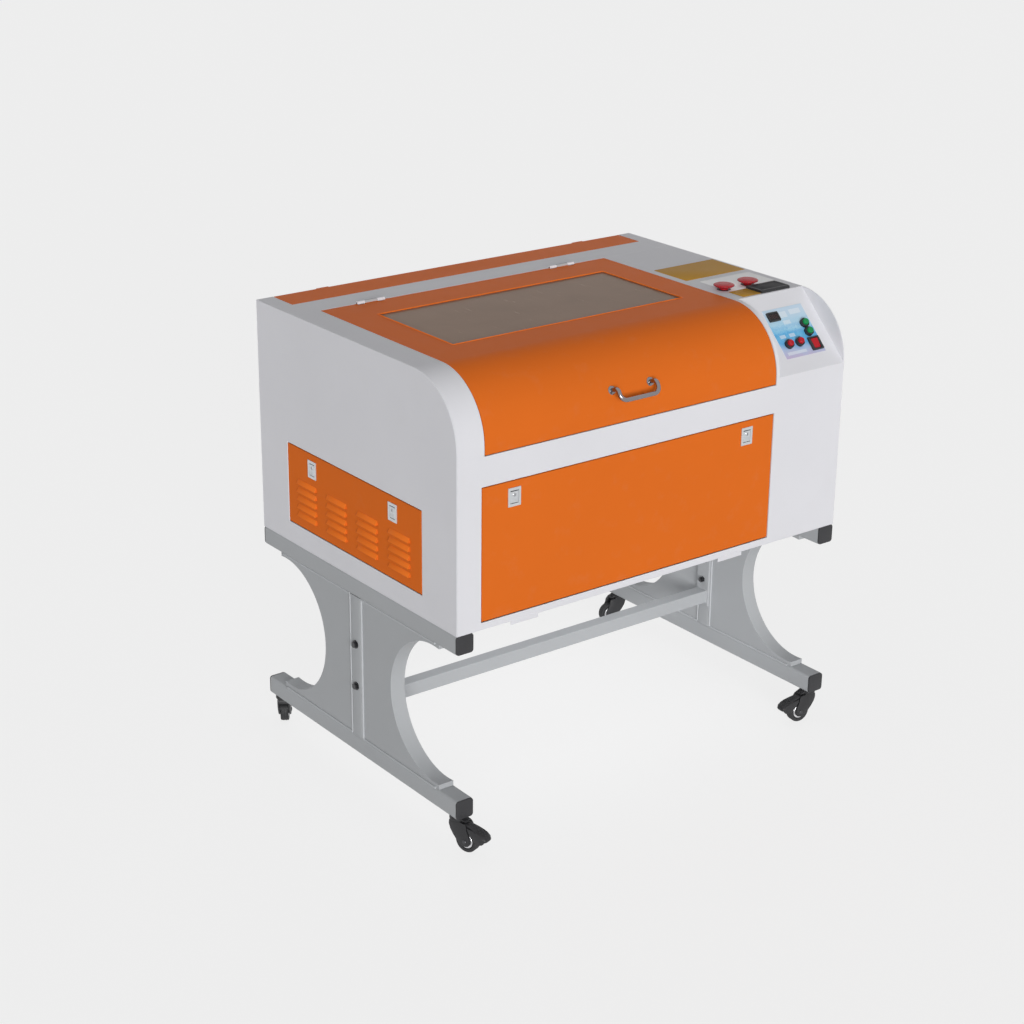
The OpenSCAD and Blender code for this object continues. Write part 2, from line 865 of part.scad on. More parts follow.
module chamber_walls() {
  color(white)
    difference() {
      union() {
        difference() {
          along_x(wall_x0 - sheet, wall_x1 + sheet)
            intersection() {
              side_profile(sheet, floor_z0);
              union() {
                translate([wall_y0, floor_z0])
                  square([wall_y1 + sheet - wall_y0, chamber_d]);
                translate([y_f, cheek_z0])
                  square([wall_y0 + 1 - y_f, z_t - cheek_z0]);
              }
            }
          span([wall_x0, wall_y0 + sheet, floor_z], [wall_x1, wall_y1, z_t + 1]);
          span([wall_x0, y_f, cheek_z0 - 1], [wall_x1, wall_y0, z_t + 1]);
          span([wall_x0, wall_y0 - 1, lid_z0 - panel_gap], [wall_x1, wall_y0 + sheet + 1, z_t + 1]);
        }
        along_x(wall_x1, wall_x1 + sheet)
          intersection() {
            side_profile(sheet, z_b + sheet);
            translate([y_f, z_b])
              square([wall_y1 + sheet - y_f, body_h]);
          }
      }
      pin_x(wall_x1 - 1, wall_x1 + sheet + 1, shaft_y, shaft_z, shaft_r + 10);
      pin_y(wall_y1 - 1, wall_y1 + sheet + 1, beam_x, laser_z, 8);
      pin_y(wall_y1 - 1, wall_y1 + sheet + 1, lid_mid, floor_z + 50, 40);
    }
}

// Pins and studs that the lid, the rear cover, the doors and the casters turn on
module hinge_pins() {
  color(metal) {
    for (x = lid_hinges)
      pin_x(x - hinge_l / 2, x + hinge_l / 2, hinge_y, hinge_z, pin_r);
    for (x = cover_hinges)
      pin_x(x - hinge_l / 2, x + hinge_l / 2, cover_axis_y, cover_axis_z, pin_r);
    pin_x(door_x0 - door_gap, door_x0 + sheet + 3, y_f + pivot_in, door_z0 + pivot_in, pin_r);
    pin_x(door_x1 - sheet - 3, door_x1 + door_gap, y_f + pivot_in, door_z0 + pivot_in, pin_r);
    pin_y(vent_y0 - door_gap, vent_y0 + sheet + 3, x_l + pivot_in, vent_z0 + pivot_in, pin_r);
    pin_y(vent_y1 - sheet - 3, vent_y1 + door_gap, x_l + pivot_in, vent_z0 + pivot_in, pin_r);
    for (i = [0:3]) {
      pin_z(hub_z0 + 5, caster_h + tube_wall + 1, caster_x[i], caster_y[i], stud_r);
      pin_z(caster_h + tube_wall, caster_h + tube_wall + stud_r, caster_x[i], caster_y[i], 1.6 * stud_r);
    }
  }
}

module rear_fittings() {
  inlet_x = x_r - inlet_in;
  inlet_z = z_b + inlet_up;
  color(metal) {
    difference() {
      union() {
        pin_y(y_b, y_b + sheet, lid_mid, spigot_z, spigot_r + 12);
        pin_y(y_b, y_b + spigot_l, lid_mid, spigot_z, spigot_r);
      }
      pin_y(y_b - 1, y_b + spigot_l + 1, lid_mid, spigot_z, spigot_r - sheet);
    }
    difference() {
      span([inlet_x - 25, y_b, inlet_z - 16], [inlet_x + 25, y_b + 6, inlet_z + 16]);
      span([inlet_x - 14, y_b + 1.5, inlet_z - 10], [inlet_x + 14, y_b + 7, inlet_z + 10]);
    }
    for (i = [0, 1])
      translate([x_r - nipple_in - i * nipple_step, y_b, inlet_z])
        difference() {
          pin_y(0, 18, 0, 0, 6);
          pin_y(4, 19, 0, 0, 3.5);
        }
  }
}

// Lid
module lid_shell() {
  color(orange)
    difference() {
      union() {
        difference() {
          along_x(lid_x0, lid_x1)
            band(sheet, lid_z0, lid_y1);
          span([win_x0, win_y0, z_t - sheet - 1], [win_x1, win_y1, z_t + 1]);
          for (x = lid_hinges, s = [-1, 1])
            translate([x + s * end_mid, 0, 0])
              span([-knuckle_end / 2 - knuckle_gap, lid_y1 - notch, z_t - sheet - 1],
                   [knuckle_end / 2 + knuckle_gap, lid_y1 + 1, z_t + 1]);
        }
        for (x = [lid_x0 + 1, lid_x1 - 1 - sheet])
          along_x(x, x + sheet)
            band(skirt, lid_z0, lid_y1 - notch - 1);
        span([lid_x0 + 1, y_f + sheet / 2, lid_z0], [lid_x1 - 1, y_f + skirt, lid_z0 + sheet]);
        span([lid_x0 + 1, lid_y1 - notch - 1 - sheet, z_t - skirt],
             [lid_x1 - 1, lid_y1 - notch - 1, z_t - sheet / 2]);
        for (x = lid_hinges)
          pin_x(x - knuckle_l / 2, x + knuckle_l / 2, hinge_y, hinge_z, knuckle_r);
      }
      for (x = lid_hinges)
        pin_x(x - hinge_l / 2 - 1, x + hinge_l / 2 + 1, hinge_y, hinge_z, pin_r + run);
    }
}

module lid_window() {
  color([0.45, 0.36, 0.3, 0.6])
    span([win_x0 - window_lap, win_y0 - window_lap, z_t - sheet - window_t],
         [win_x1 + window_lap, win_y1 + window_lap, z_t - sheet]);
}

module handle_post() {
  difference() {
    translate([0, 0, -1])
      cylinder(h = 4, r = handle_r + 3);
    curve_body();
  }
  difference() {
    translate([0, 0, -1])
      cylinder(h = handle_reach + 1, r = handle_r);
    curve_body();
  }
  translate([0, 0, handle_reach])
    sphere(r = handle_ball);
  translate([0, 0, handle_reach])
    rotate([82, 0, 0])
      cylinder(h = handle_drop, r = handle_r);
}

module lid_handle() {
  bar_y = -handle_drop * sin(82);
  bar_z = handle_reach + handle_drop * cos(82);
  color(metal)
    on_curve(lid_mid - handle_left, handle_angle) {
      for (s = [-1, 1])
        translate([s * handle_span / 2, 0, 0]) {
          handle_post();
          translate([0, bar_y, bar_z])
            sphere(r = handle_ball);
        }
      pin_x(-handle_span / 2, handle_span / 2, bar_y, bar_z, handle_r);
    }
}

module rear_cover() {
  back = y_b - sheet - 6;
  color(orange)
    difference() {
      union() {
        span([cover_x0, cover_y0, z_t - sheet], [cover_x1, y_b, z_t]);
        difference() {
          span([cover_x0 + 2, cover_y0 + 2, z_t - cover_flange], [cover_x1 - 2, back, z_t - sheet / 2]);
          span([cover_x0 + 2 + sheet, cover_y0 + 2 + sheet, z_t - cover_flange - 1],
               [cover_x1 - 2 - sheet, back + 1, z_t - sheet]);
        }
        for (x = cover_hinges) {
          pin_x(x - knuckle_l / 2, x + knuckle_l / 2, cover_axis_y, cover_axis_z, knuckle_r);
          span([x - knuckle_l / 2, y_b - 1, cover_axis_z + knuckle_r - sheet / 2],
               [x + knuckle_l / 2, cover_axis_y, z_t]);
          span([x - knuckle_l / 2, y_b + 0.4, cover_axis_z],
               [x + knuckle_l / 2, cover_axis_y, z_t - sheet / 2]);
        }
      }
      for (x = cover_hinges)
        pin_x(x - hinge_l / 2 - 1, x + hinge_l / 2 + 1, cover_axis_y, cover_axis_z, pin_r + run);
    }
}

// Doors. A leaf stands on its lower edge with its face towards -Y and its left end at the origin
module door_leaf(w, h, latches) {
  deep = sheet + door_flange;
  difference() {
    union() {
      span([0, 0, 0], [w, sheet, h]);
      difference() {
        span([0, sheet / 2, 0], [w, deep, h]);
        span([sheet, 0, sheet], [w - sheet, deep + 1, h - sheet]);
      }
    }
    pin_x(-1, sheet + 1, pivot_in, pivot_in, pin_r + run);
    pin_x(w - sheet - 1, w + 1, pivot_in, pivot_in, pin_r + run);
    for (x = latches)
      span([x - housing_w, -1, h - latch_down - housing_h],
           [x + housing_w, sheet + 1, h - latch_down + housing_h]);
  }
}

module at_front_door() {
  translate([door_x0, y_f, door_z0])
    children();
}

module at_vent_door() {
  translate([x_l, vent_y1, vent_z0])
    rotate([0, 0, -90])
      children();
}

module latch_body() {
  difference() {
    union() {
      span([-latch_w / 2, -latch_face, -latch_h / 2], [latch_w / 2, 0, latch_h / 2]);
      span([-housing_w, -0.5, -housing_h], [housing_w, latch_d, housing_h]);
    }
    span([-pocket_w, -latch_face - 1, -pocket_h], [pocket_w, latch_d - 2, pocket_h]);
    pin_x(-pocket_w - 1.7, pocket_w + 1.7, 0.5, paddle_axis, paddle_pin + run);
  }
}

module latch_paddle() {
  span([-pocket_w + 0.4, -latch_face + 0.5, -pocket_h + 1], [pocket_w - 0.4, 2.5, paddle_axis + 2]);
  pin_x(-pocket_w - 1.5, pocket_w + 1.5, 0.5, paddle_axis, paddle_pin);
}

module front_door() {
  color(orange)
    at_front_door()
      door_leaf(door_w, door_h, [latch_in, door_w - latch_in]);
}

module front_latch_bodies() {
  color(metal)
    at_front_door()
      for (x = [latch_in, door_w - latch_in])
        translate([x, 0, door_h - latch_down])
          latch_body();
}

module front_latch_left() {
  color(metal)
    at_front_door()
      translate([latch_in, 0, door_h - latch_down])
        latch_paddle();
}

module front_latch_right() {
  color(metal)
    at_front_door()
      translate([door_w - latch_in, 0, door_h - latch_down])
        latch_paddle();
}

// Outline of a louvre hood, reaching out to -Y, open below
module louvre_outline() {
  wall = 1.2;
  difference() {
    polygon([[0, 0], [-louvre_out, 0], [-louvre_out, wall], [0, louvre_h]]);
    polygon([[1, -1], [-louvre_out + wall, -1], [-louvre_out + wall, wall / 2], [1, louvre_h - 2 * wall]]);
  }
}

module louvre() {
  translate([-louvre_l / 2, 0, 0])
    along_x(0, louvre_l)
      louvre_outline();
  for (x = [-louvre_l / 2, louvre_l / 2 - 1.2])
    along_x(x, x + 1.2)
      polygon([[0, 0], [-louvre_out, 0], [-louvre_out, 1.2], [0, louvre_h]]);
}

module vent_door() {
  columns = [for (i = [0:3]) vent_w / 2 + (i - 1.5) * louvre_step];
  rows = [for (i = [0:4]) louvre_low + i * louvre_pitch];
  color(orange)
    at_vent_door() {
      difference() {
        door_leaf(vent_w, vent_h, [latch_in_vent, vent_w - latch_in_vent]);
        for (x = columns, z = rows)
          span([x - louvre_l / 2 + 2, -1, z + 0.5], [x + louvre_l / 2 - 2, sheet + 1, z + louvre_h - 3.5]);
      }
      for (x = columns, z = rows)
        translate([x, 0, z])
          louvre();
    }
}

module vent_latch_bodies() {
  color(metal)
    at_vent_door()
      for (x = [latch_in_vent, vent_w - latch_in_vent])
        translate([x, 0, vent_h - latch_down])
          latch_body();
}

module vent_latch_front() {
  color(metal)
    at_vent_door()
      translate([vent_w - latch_in_vent, 0, vent_h - latch_down])
        latch_paddle();
}

module vent_latch_rear() {
  color(metal)
    at_vent_door()
      translate([latch_in_vent, 0, vent_h - latch_down])
        latch_paddle();
}

// Controls
module control_overlay() {
  color([0.6, 0.78, 0.9])
    difference() {
      on_panel([overlay_in, -overlay_low])
        translate([0, 0, glue])
          cube([overlay_w, overlay_low + overlay_high, overlay_t]);
      panel_cuts(flange_r + 0.3, 0.6);
    }
}

module button_bezel() {
  difference() {
    union() {
      cylinder(h = bezel_h, r = flange_r);
      translate([0, 0, -16])
        cylinder(h = 17, r = sleeve_r);
    }
    translate([0, 0, -17])
      cylinder(h = bezel_h + 18, r = button_r + run);
  }
}

module rocker_housing() {
  inner = rocker_bezel - 4;
  difference() {
    union() {
      translate([-rocker_bezel / 2, -rocker_bezel / 2, 0])
        cube([rocker_bezel, rocker_bezel, rocker_out]);
      translate([-inner / 2, -inner / 2, -18])
        cube([inner, inner, 18.5]);
    }
    translate([-rocker_w / 2 - 0.3, -rocker_l / 2 - rocker_clear, -14])
      cube([rocker_w + 0.6, rocker_l + 2 * rocker_clear, rocker_out + 15]);
    pin_x(-rocker_w / 2 - 2.7, rocker_w / 2 + 2.7, 0, -2, 1.5 + run);
  }
}

module stop_collar(x) {
  difference() {
    union() {
      pin_z(z_t, z_t + collar_h, x, stop_y, collar_r);
      pin_z(z_t - 26, z_t + collar_h / 2, x, stop_y, stem_r + 2);
    }
    pin_z(z_t - 27, z_t + collar_h + 1, x, stop_y, stem_r + run);
  }
}

module control_bezels() {
  color(black) {
    for (place = push_places)
      on_panel(place)
        button_bezel();
    on_panel([rocker_in, -rocker_low])
      rocker_housing();
    for (x = [stop_in_left, stop_in_right])
      stop_collar(x_r - x);
  }
}

module push_cap(place) {
  edge = 1.2;
  shoulder = bezel_h + button_out - edge;
  on_panel(place) {
    translate([0, 0, -10])
      cylinder(h = shoulder + 10, r = button_r);
    translate([0, 0, shoulder])
      cylinder(h = edge, r1 = button_r, r2 = button_r - edge);
  }
}

module start_button() {
  color([0.1, 0.6, 0.25])
    push_cap(push_places[0]);
}

module pause_button() {
  color([0.1, 0.6, 0.25])
    push_cap(push_places[1]);
}

module red_button_left() {
  color([0.8, 0.1, 0.12])
    push_cap(push_places[2]);
}

module red_button_right() {
  color([0.8, 0.1, 0.12])
    push_cap(push_places[3]);
}

module rocker_switch() {
  half = rocker_l / 2;
  color([0.8, 0.1, 0.12])
    on_panel([rocker_in, -rocker_low]) {
      along_x(-rocker_w / 2, rocker_w / 2)
        polygon([[-half, -5], [half, -5], [half, rocker_out + 0.6],
                 [0, rocker_out - 0.6], [-half, rocker_out - 2.2]]);
      pin_x(-rocker_w / 2 - 2.4, rocker_w / 2 + 2.4, 0, -2, 1.5);
    }
}

// A mushroom head on its stem, clear of its collar by the free travel
module stop_head(x) {
  under = z_t + collar_h + stop_gap;
  pin_z(z_t - 22, under + 1, x, stop_y, stem_r);
  translate([x, stop_y, under])
    rotate_extrude()
      polygon([[0, 0], [stop_r - 9, 0], [stop_r, 0.55 * stop_h], [stop_r, 0.72 * stop_h],
               [stop_r - 3, 0.9 * stop_h], [stop_r - 9, stop_h], [0, stop_h]]);
}

module emergency_stop() {
  color([0.8, 0.1, 0.12])
    stop_head(x_r - stop_in_left);
}

module laser_stop() {
  color([0.8, 0.1, 0.12])
    stop_head(x_r - stop_in_right);
}

module panel_meters() {
  color(black) {
    on_panel([display_in, display_high]) {
      translate([-display_w / 2, -display_h / 2, 0])
        cube([display_w, display_h, 3]);
      translate([-display_w / 2 + 2, -display_h / 2 + 2, -14])
        cube([display_w - 4, display_h - 4, 15]);
    }
    span([meter_x - meter_w / 2, meter_y - meter_d / 2, z_t],
         [meter_x + meter_w / 2, meter_y + meter_d / 2, z_t + 5]);
    span([meter_x - meter_w / 2 + 5, meter_y - meter_d / 2 + 5, z_t - 25],
         [meter_x + meter_w / 2 - 5, meter_y + meter_d / 2 - 5, z_t + 1]);
  }
}

// Motion system. Pieces of the left rail are drawn at x = 0 and mirrored for the right rail
module at_rails() {
  translate([rail_x0, 0, 0])
    children();
  translate([rail_x1, 0, 0])
    mirror([1, 0, 0])
      children();
}

module y_rails() {
  color(metal)
    at_rails()
      difference() {
        union() {
          span([-rail_w / 2, rail_y0, rail_z], [rail_w / 2, rail_y1, rail_z + rail_h]);
          for (y = [rail_y0 + 20, shaft_y])
            span([-post / 2, y - post / 2, floor_z], [post / 2, y + post / 2, rail_z + 1]);
          span([-post / 2, rail_y0 + 5, shaft_z - belt_out - 5],
               [belt_mid + belt_w / 2 + 4, tension_y, rail_z + 1]);
        }
        pin_x(-post, post, shaft_y, shaft_z, shaft_r + run);
      }
}

module y_belts() {
  x0 = belt_mid - belt_w / 2;
  x1 = belt_mid + belt_w / 2;
  color(black)
    at_rails() {
      span([x0, tension_y, shaft_z + belt_in], [x1, shaft_y + 0.01, shaft_z + belt_out]);
      span([x0, tension_y, shaft_z - belt_out], [x1, shaft_y + 0.01, shaft_z - belt_in]);
      difference() {
        pin_x(x0, x1, shaft_y, shaft_z, belt_out);
        pin_x(x0 - 1, x1 + 1, shaft_y, shaft_z, belt_in);
        span([x0 - 1, shaft_y - 2 * belt_out, shaft_z - 2 * belt_out],
             [x1 + 1, shaft_y, shaft_z + 2 * belt_out]);
      }
    }
}

module y_motor() {
  x0 = wall_x1 + sheet;
  color(black)
    difference() {
      span([x0, shaft_y - motor / 2, shaft_z - motor / 2],
           [x0 + motor, shaft_y + motor / 2, shaft_z + motor / 2]);
      pin_x(x0 - 1, x0 + 20, shaft_y, shaft_z, shaft_r + run);
    }
}

module y_shaft() {
  half = belt_w / 2 + 2;
  color(metal) {
    pin_x(rail_x0 - post / 2 - 4, wall_x1 + sheet + 16, shaft_y, shaft_z, shaft_r);
    for (x = [rail_x0 + belt_mid, rail_x1 - belt_mid])
      pin_x(x - half, x + half, shaft_y, shaft_z, pulley_r);
  }
}

module gantry_carriage() {
  cheek = 8;
  g = rail_w / 2 + slide_gap;
  span([-g - cheek, home_y - carriage_l / 2, car_z0], [g + cheek, home_y + carriage_l / 2, gan_z0 + 0.5]);
  for (x = [-g - cheek, g])
    span([x, home_y - carriage_l / 2, rail_z + 2], [x + cheek, home_y + carriage_l / 2, car_z0 + 1]);
  span([g + 2, home_y - 12, shaft_z + belt_out + 0.5], [belt_mid + belt_w / 2, home_y + 12, car_z0 + 1]);
}

module gantry_beam() {
  color(metal)
    difference() {
      union() {
        span([gan_x0, gan_f, gan_z0], [gan_x1, gan_b, gan_z1]);
        at_rails()
          gantry_carriage();
      }
      pin_y(gan_f - 1, gan_b + 1, xm_x, xm_z, 6);
    }
}

// Motor, belt and idler housing that drive the head, and the mirror at the end of the gantry
module x_drive() {
  y0 = gan_f - 7;
  y1 = gan_f - 2;
  idler_x = gan_x0 + idler_l;
  color(black) {
    difference() {
      span([xm_x - small_motor / 2, gan_b, xm_z - small_motor / 2],
           [xm_x + small_motor / 2, gan_b + small_motor_l, xm_z + small_motor / 2]);
      pin_y(gan_b - 1, gan_b + 10, xm_x, xm_z, 2.5 + run);
    }
    span([gan_x0, gan_f - 10, xm_z - belt_out - 3], [idler_x, gan_f, xm_z + belt_out + 3]);
    span([idler_x, y0, xm_z + belt_in], [xm_x, y1, xm_z + belt_out]);
    span([idler_x, y0, xm_z - belt_out], [xm_x, y1, xm_z - belt_in]);
    difference() {
      pin_y(y0, y1, xm_x, xm_z, belt_out);
      pin_y(y0 - 1, y1 + 1, xm_x, xm_z, belt_in);
      span([xm_x - 2 * belt_out, y0 - 1, xm_z - 2 * belt_out], [xm_x - 0.01, y1 + 1, xm_z + 2 * belt_out]);
    }
    span([gan_x0, gan_f + 2, gan_z1], [beam_x + 9, gan_f + 8, gan_z1 + 32]);
    span([gan_x0, gan_f + 2, gan_z1], [beam_x + 9, gan_b, gan_z1 + 4]);
  }
}

module x_motor_pulley() {
  color(metal) {
    pin_y(gan_f - 9, gan_b + 8, xm_x, xm_z, 2.5);
    pin_y(gan_f - 8, gan_f - 1, xm_x, xm_z, pulley_r);
  }
}

module laser_head() {
  top = gan_z1 + slide_gap;
  x0 = head_x - head_w / 2;
  x1 = head_x + head_w / 2;
  front = gan_f - head_plate_d + 2;
  color(metal) {
    span([x0, gan_f - head_plate_d, top], [x1, gan_b + slide_gap + 4, top + 6]);
    span([x0 + 6, gan_b + slide_gap, gan_z1 - 18], [x1 - 6, gan_b + slide_gap + 4, top + 1]);
    span([x0, front, gan_z0 + 2], [x1, front + 7, top + 1]);
    span([head_x - head_block_w / 2, gan_f - head_reach, gan_z0 + 3],
         [head_x + head_block_w / 2, gan_f - head_reach + head_block_d, top + 8]);
    pin_z(bed_z1 + nozzle_gap + nozzle_l, gan_z0 + 4, head_x, head_y, 11);
    translate([head_x, head_y, bed_z1 + nozzle_gap])
      cylinder(h = nozzle_l + 0.5, r1 = 3, r2 = 9);
  }
}

module bed_frame() {
  lip = bed_bar + 7;
  color(grey) {
    difference() {
      span([bed_x0, bed_y0, bed_z0], [bed_x1, bed_y1, bed_z1]);
      span([bed_x0 + bed_bar, bed_y0 + bed_bar, bed_z0 + 5],
           [bed_x1 - bed_bar, bed_y1 - bed_bar, bed_z1 + 1]);
      span([bed_x0 + lip, bed_y0 + lip, bed_z0 - 1], [bed_x1 - lip, bed_y1 - lip, bed_z1 + 1]);
    }
    for (x = [bed_x0, bed_x1 - 20], y = [bed_y0, bed_y1 - 20])
      span([x, y, floor_z], [x + 20, y + 20, bed_z0 + 1]);
  }
}

module honeycomb_bed() {
  x0 = bed_x0 + bed_bar + 0.5;
  x1 = bed_x1 - bed_bar - 0.5;
  y0 = bed_y0 + bed_bar + 0.5;
  y1 = bed_y1 - bed_bar - 0.5;
  columns = 14;
  rows = 9;
  step_x = (x1 - x0 - 12) / columns;
  step_y = (y1 - y0 - 12) / rows;
  color(metal)
    translate([0, 0, bed_z0 + 5])
      linear_extrude(height = bed_h - 5)
        difference() {
          translate([x0, y0])
            square([x1 - x0, y1 - y0]);
          for (i = [0:columns - 1], j = [0:rows - 1])
            translate([x0 + 8 + i * step_x, y0 + 8 + j * step_y])
              square([step_x - 4, step_y - 4]);
        }
}

// Laser
module laser_tube() {
  color([0.8, 0.85, 0.9]) {
    pin_x(laser_x0, laser_x1, laser_y, laser_z, tube_r);
    pin_x(laser_x0 - tube_tip, laser_x0 + 1, laser_y, laser_z, 9);
    pin_x(laser_x1 - 1, laser_x1 + tube_tip, laser_y, laser_z, 7);
  }
}

module tube_holders() {
  y0 = wall_y1 + sheet;
  color(black) {
    for (x = holder_xs)
      difference() {
        span([x - 8, y0, laser_z - tube_r - 14], [x + 8, laser_y + tube_r + 7, laser_z + 3]);
        pin_x(x - 9, x + 9, laser_y, laser_z, tube_r);
      }
    span([beam_x - mirror_w / 2, y0, laser_z - 35], [beam_x + mirror_w / 2, laser_y + 14, laser_z - 25]);
    difference() {
      span([beam_x - mirror_w / 2, laser_y - 2, laser_z - 26],
           [beam_x + mirror_w / 2, laser_y + 14, laser_z + 14]);
      pin_y(laser_y - 3, laser_y + 1, beam_x, laser_z, 10);
    }
  }
}

module power_and_control() {
  x0 = wall_x1 + sheet + supply_gap;
  x1 = x_r - sheet - supply_side;
  y0 = y_b - supply_back - supply_d;
  z0 = z_b + sheet;
  slot_pitch = (supply_h - 46) / 7;
  color(metal) {
    difference() {
      span([x0, y0, z0], [x1, y0 + supply_d, z0 + supply_h]);
      for (i = [0:6])
        translate([0, y0, z0 + 25 + i * slot_pitch])
          span([x0 + 15, -1, 0], [x1 - 15, 2, 4]);
    }
    span([x0, y_f + board_front, z0], [x1, y_f + board_front + board_d, z0 + board_h]);
  }
}

// Casters, drawn with the swivel axis on Z and the wheel trailing towards +X
module at_caster(i) {
  translate([caster_x[i], caster_y[i], 0])
    rotate([0, 0, caster_heading[i]])
      children();
}

module cheek_outline() {
  polygon([[-hub_r + 1, hub_z0 + 9], [-hub_r + 1, hub_z0 - 2], [trail - 10, wheel_r], [trail + 10, wheel_r],
           [pedal_u + 7, hub_z0 - 4], [pedal_u + 7, hub_z0 + 9]]);
  translate([trail, wheel_r])
    circle(r = 10);
}

// Turns an outline in the plane of the wheel into a plate between v0 and v1
module wheel_plate(v0, v1) {
  translate([0, v1, 0])
    rotate([90, 0, 0])
      linear_extrude(height = v1 - v0)
        children();
}

module caster_fork() {
  difference() {
    union() {
      pin_z(hub_z0, hub_z1, 0, 0, hub_r);
      span([-hub_r + 1, -fork_out, hub_z0], [hub_r - 1, fork_out, hub_z0 + 9]);
      wheel_plate(fork_in, fork_out)
        cheek_outline();
      wheel_plate(-fork_out, -fork_in)
        cheek_outline();
      pin_y(-fork_out, fork_out, trail, wheel_r, axle_r);
      pin_y(-fork_out, fork_out, pedal_u, pedal_z, pedal_pin);
    }
    pin_z(hub_z0 + 4, hub_z1 + 1, 0, 0, stud_r + run);
  }
}

module caster_wheel() {
  half = wheel_w / 2;
  difference() {
    pin_y(-half, half, trail, wheel_r, wheel_r);
    pin_y(-half - 1, half + 1, trail, wheel_r, axle_r + run);
    for (s = [-1, 1])
      difference() {
        pin_y(s < 0 ? -half - 1 : half - 2, s < 0 ? -half + 2 : half + 1, trail, wheel_r, wheel_r - 7);
        pin_y(-half - 2, half + 2, trail, wheel_r, axle_r + 5);
      }
  }
}

module caster_pedal() {
  half = wheel_w / 2;
  z = pedal_z;
  difference() {
    union() {
      wheel_plate(-half, half)
        polygon([[hub_r + 1.5, z - 3.5], [30, z - 4], [58, z - 16],
                 [58, z - 10], [32, z + 5], [hub_r + 1.5, z + 5]]);
      wheel_plate(-half - 5, half + 5)
        polygon([[46, z - 10.8], [60, z - 17], [67, z - 17.5], [67, z - 13], [60, z - 11], [48, z - 4]]);
    }
    pin_y(-half - 1, half + 1, pedal_u, pedal_z, pedal_pin + run);
  }
}

module caster_fork_fl() {
  color(black)
    at_caster(0)
      caster_fork();
}

module caster_fork_fr() {
  color(black)
    at_caster(1)
      caster_fork();
}

module caster_fork_bl() {
  color(black)
    at_caster(2)
      caster_fork();
}

module caster_fork_br() {
  color(black)
    at_caster(3)
      caster_fork();
}

module caster_wheel_fl() {
  color(black)
    at_caster(0)
      caster_wheel();
}

module caster_wheel_fr() {
  color(black)
    at_caster(1)
      caster_wheel();
}

module caster_wheel_bl() {
  color(black)
    at_caster(2)
      caster_wheel();
}

module caster_wheel_br() {
  color(black)
    at_caster(3)
      caster_wheel();
}

module caster_pedal_fl() {
  color(black)
    at_caster(0)
      caster_pedal();
}

module caster_pedal_fr() {
  color(black)
    at_caster(1)
      caster_pedal();
}

stand_left_frame();
stand_right_frame();
stand_gussets();
cross_beam();
beam_bolts();
tube_end_caps();
base_pan();
left_side_panel();
right_side_panel();
back_panel();
cabinet_skin();
control_fascia();
chamber_walls();
control_overlay();
panel_meters();
control_bezels();
y_rails();
y_motor();
y_belts();
laser_tube();
tube_holders();
power_and_control();
rear_fittings();
hinge_pins();
bed_frame();
honeycomb_bed();
lid_shell();
lid_window();
lid_handle();
rear_cover();
front_door();
front_latch_bodies();
front_latch_left();
front_latch_right();
vent_door();
vent_latch_bodies();
vent_latch_front();
vent_latch_rear();
start_button();
pause_button();
red_button_left();
red_button_right();
rocker_switch();
emergency_stop();
laser_stop();
gantry_beam();
x_drive();
x_motor_pulley();
laser_head();
y_shaft();
caster_fork_fl();
caster_fork_fr();
caster_fork_bl();
caster_fork_br();
caster_wheel_fl();
caster_wheel_fr();
caster_wheel_bl();
caster_wheel_br();
caster_pedal_fl();
caster_pedal_fr();
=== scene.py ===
"""Paint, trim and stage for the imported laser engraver. All places are in metres, in the CAD frame."""

import json
import math

import bmesh
import bpy
from bpy.props import FloatProperty, FloatVectorProperty, IntProperty, PointerProperty
from bpy.types import Operator, Panel, PropertyGroup
from mathutils import Matrix, Vector


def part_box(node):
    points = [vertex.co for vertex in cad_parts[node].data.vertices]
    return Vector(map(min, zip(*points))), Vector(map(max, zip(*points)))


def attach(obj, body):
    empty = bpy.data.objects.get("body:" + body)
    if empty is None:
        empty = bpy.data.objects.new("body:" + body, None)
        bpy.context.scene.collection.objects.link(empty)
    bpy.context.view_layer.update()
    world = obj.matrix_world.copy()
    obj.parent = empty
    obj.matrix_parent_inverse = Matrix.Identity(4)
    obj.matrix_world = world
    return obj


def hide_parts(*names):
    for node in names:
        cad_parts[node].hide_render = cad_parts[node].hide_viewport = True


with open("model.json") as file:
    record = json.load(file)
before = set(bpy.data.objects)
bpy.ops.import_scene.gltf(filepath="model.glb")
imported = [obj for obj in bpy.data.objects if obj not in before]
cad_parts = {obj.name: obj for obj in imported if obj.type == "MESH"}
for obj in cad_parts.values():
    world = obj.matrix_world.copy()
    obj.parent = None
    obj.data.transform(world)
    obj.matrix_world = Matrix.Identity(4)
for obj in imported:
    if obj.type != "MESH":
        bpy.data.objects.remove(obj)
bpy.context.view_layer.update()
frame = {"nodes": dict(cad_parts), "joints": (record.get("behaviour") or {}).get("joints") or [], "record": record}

bl_info = {
    "name": "Laser engraver finish",
    "version": (1, 0, 0),
    "blender": (4, 5, 0),
    "location": "View3D > Sidebar > Engraver",
    "description": "Paints, trims and stages the packed laser engraver",
    "category": "Object",
}

NODES = frame["nodes"]
JOINTS = {joint["name"]: joint for joint in frame["joints"]}
BODY_OF = {
    node: body
    for body, members in frame["record"]["behaviour"]["bodies"].items()
    for node in members
}

# The rounded front edge of the cabinet: its axis and radius
CURVE_Y = -0.218
CURVE_Z = 0.835
CURVE_R = 0.135
PANEL_Y = CURVE_Y - CURVE_R / 2
PANEL_Z = CURVE_Z + CURVE_R / 2
TOP_Z = 0.970
BACK_Y = 0.353
RIGHT_X = 0.500
SIDES = (-1, 1)

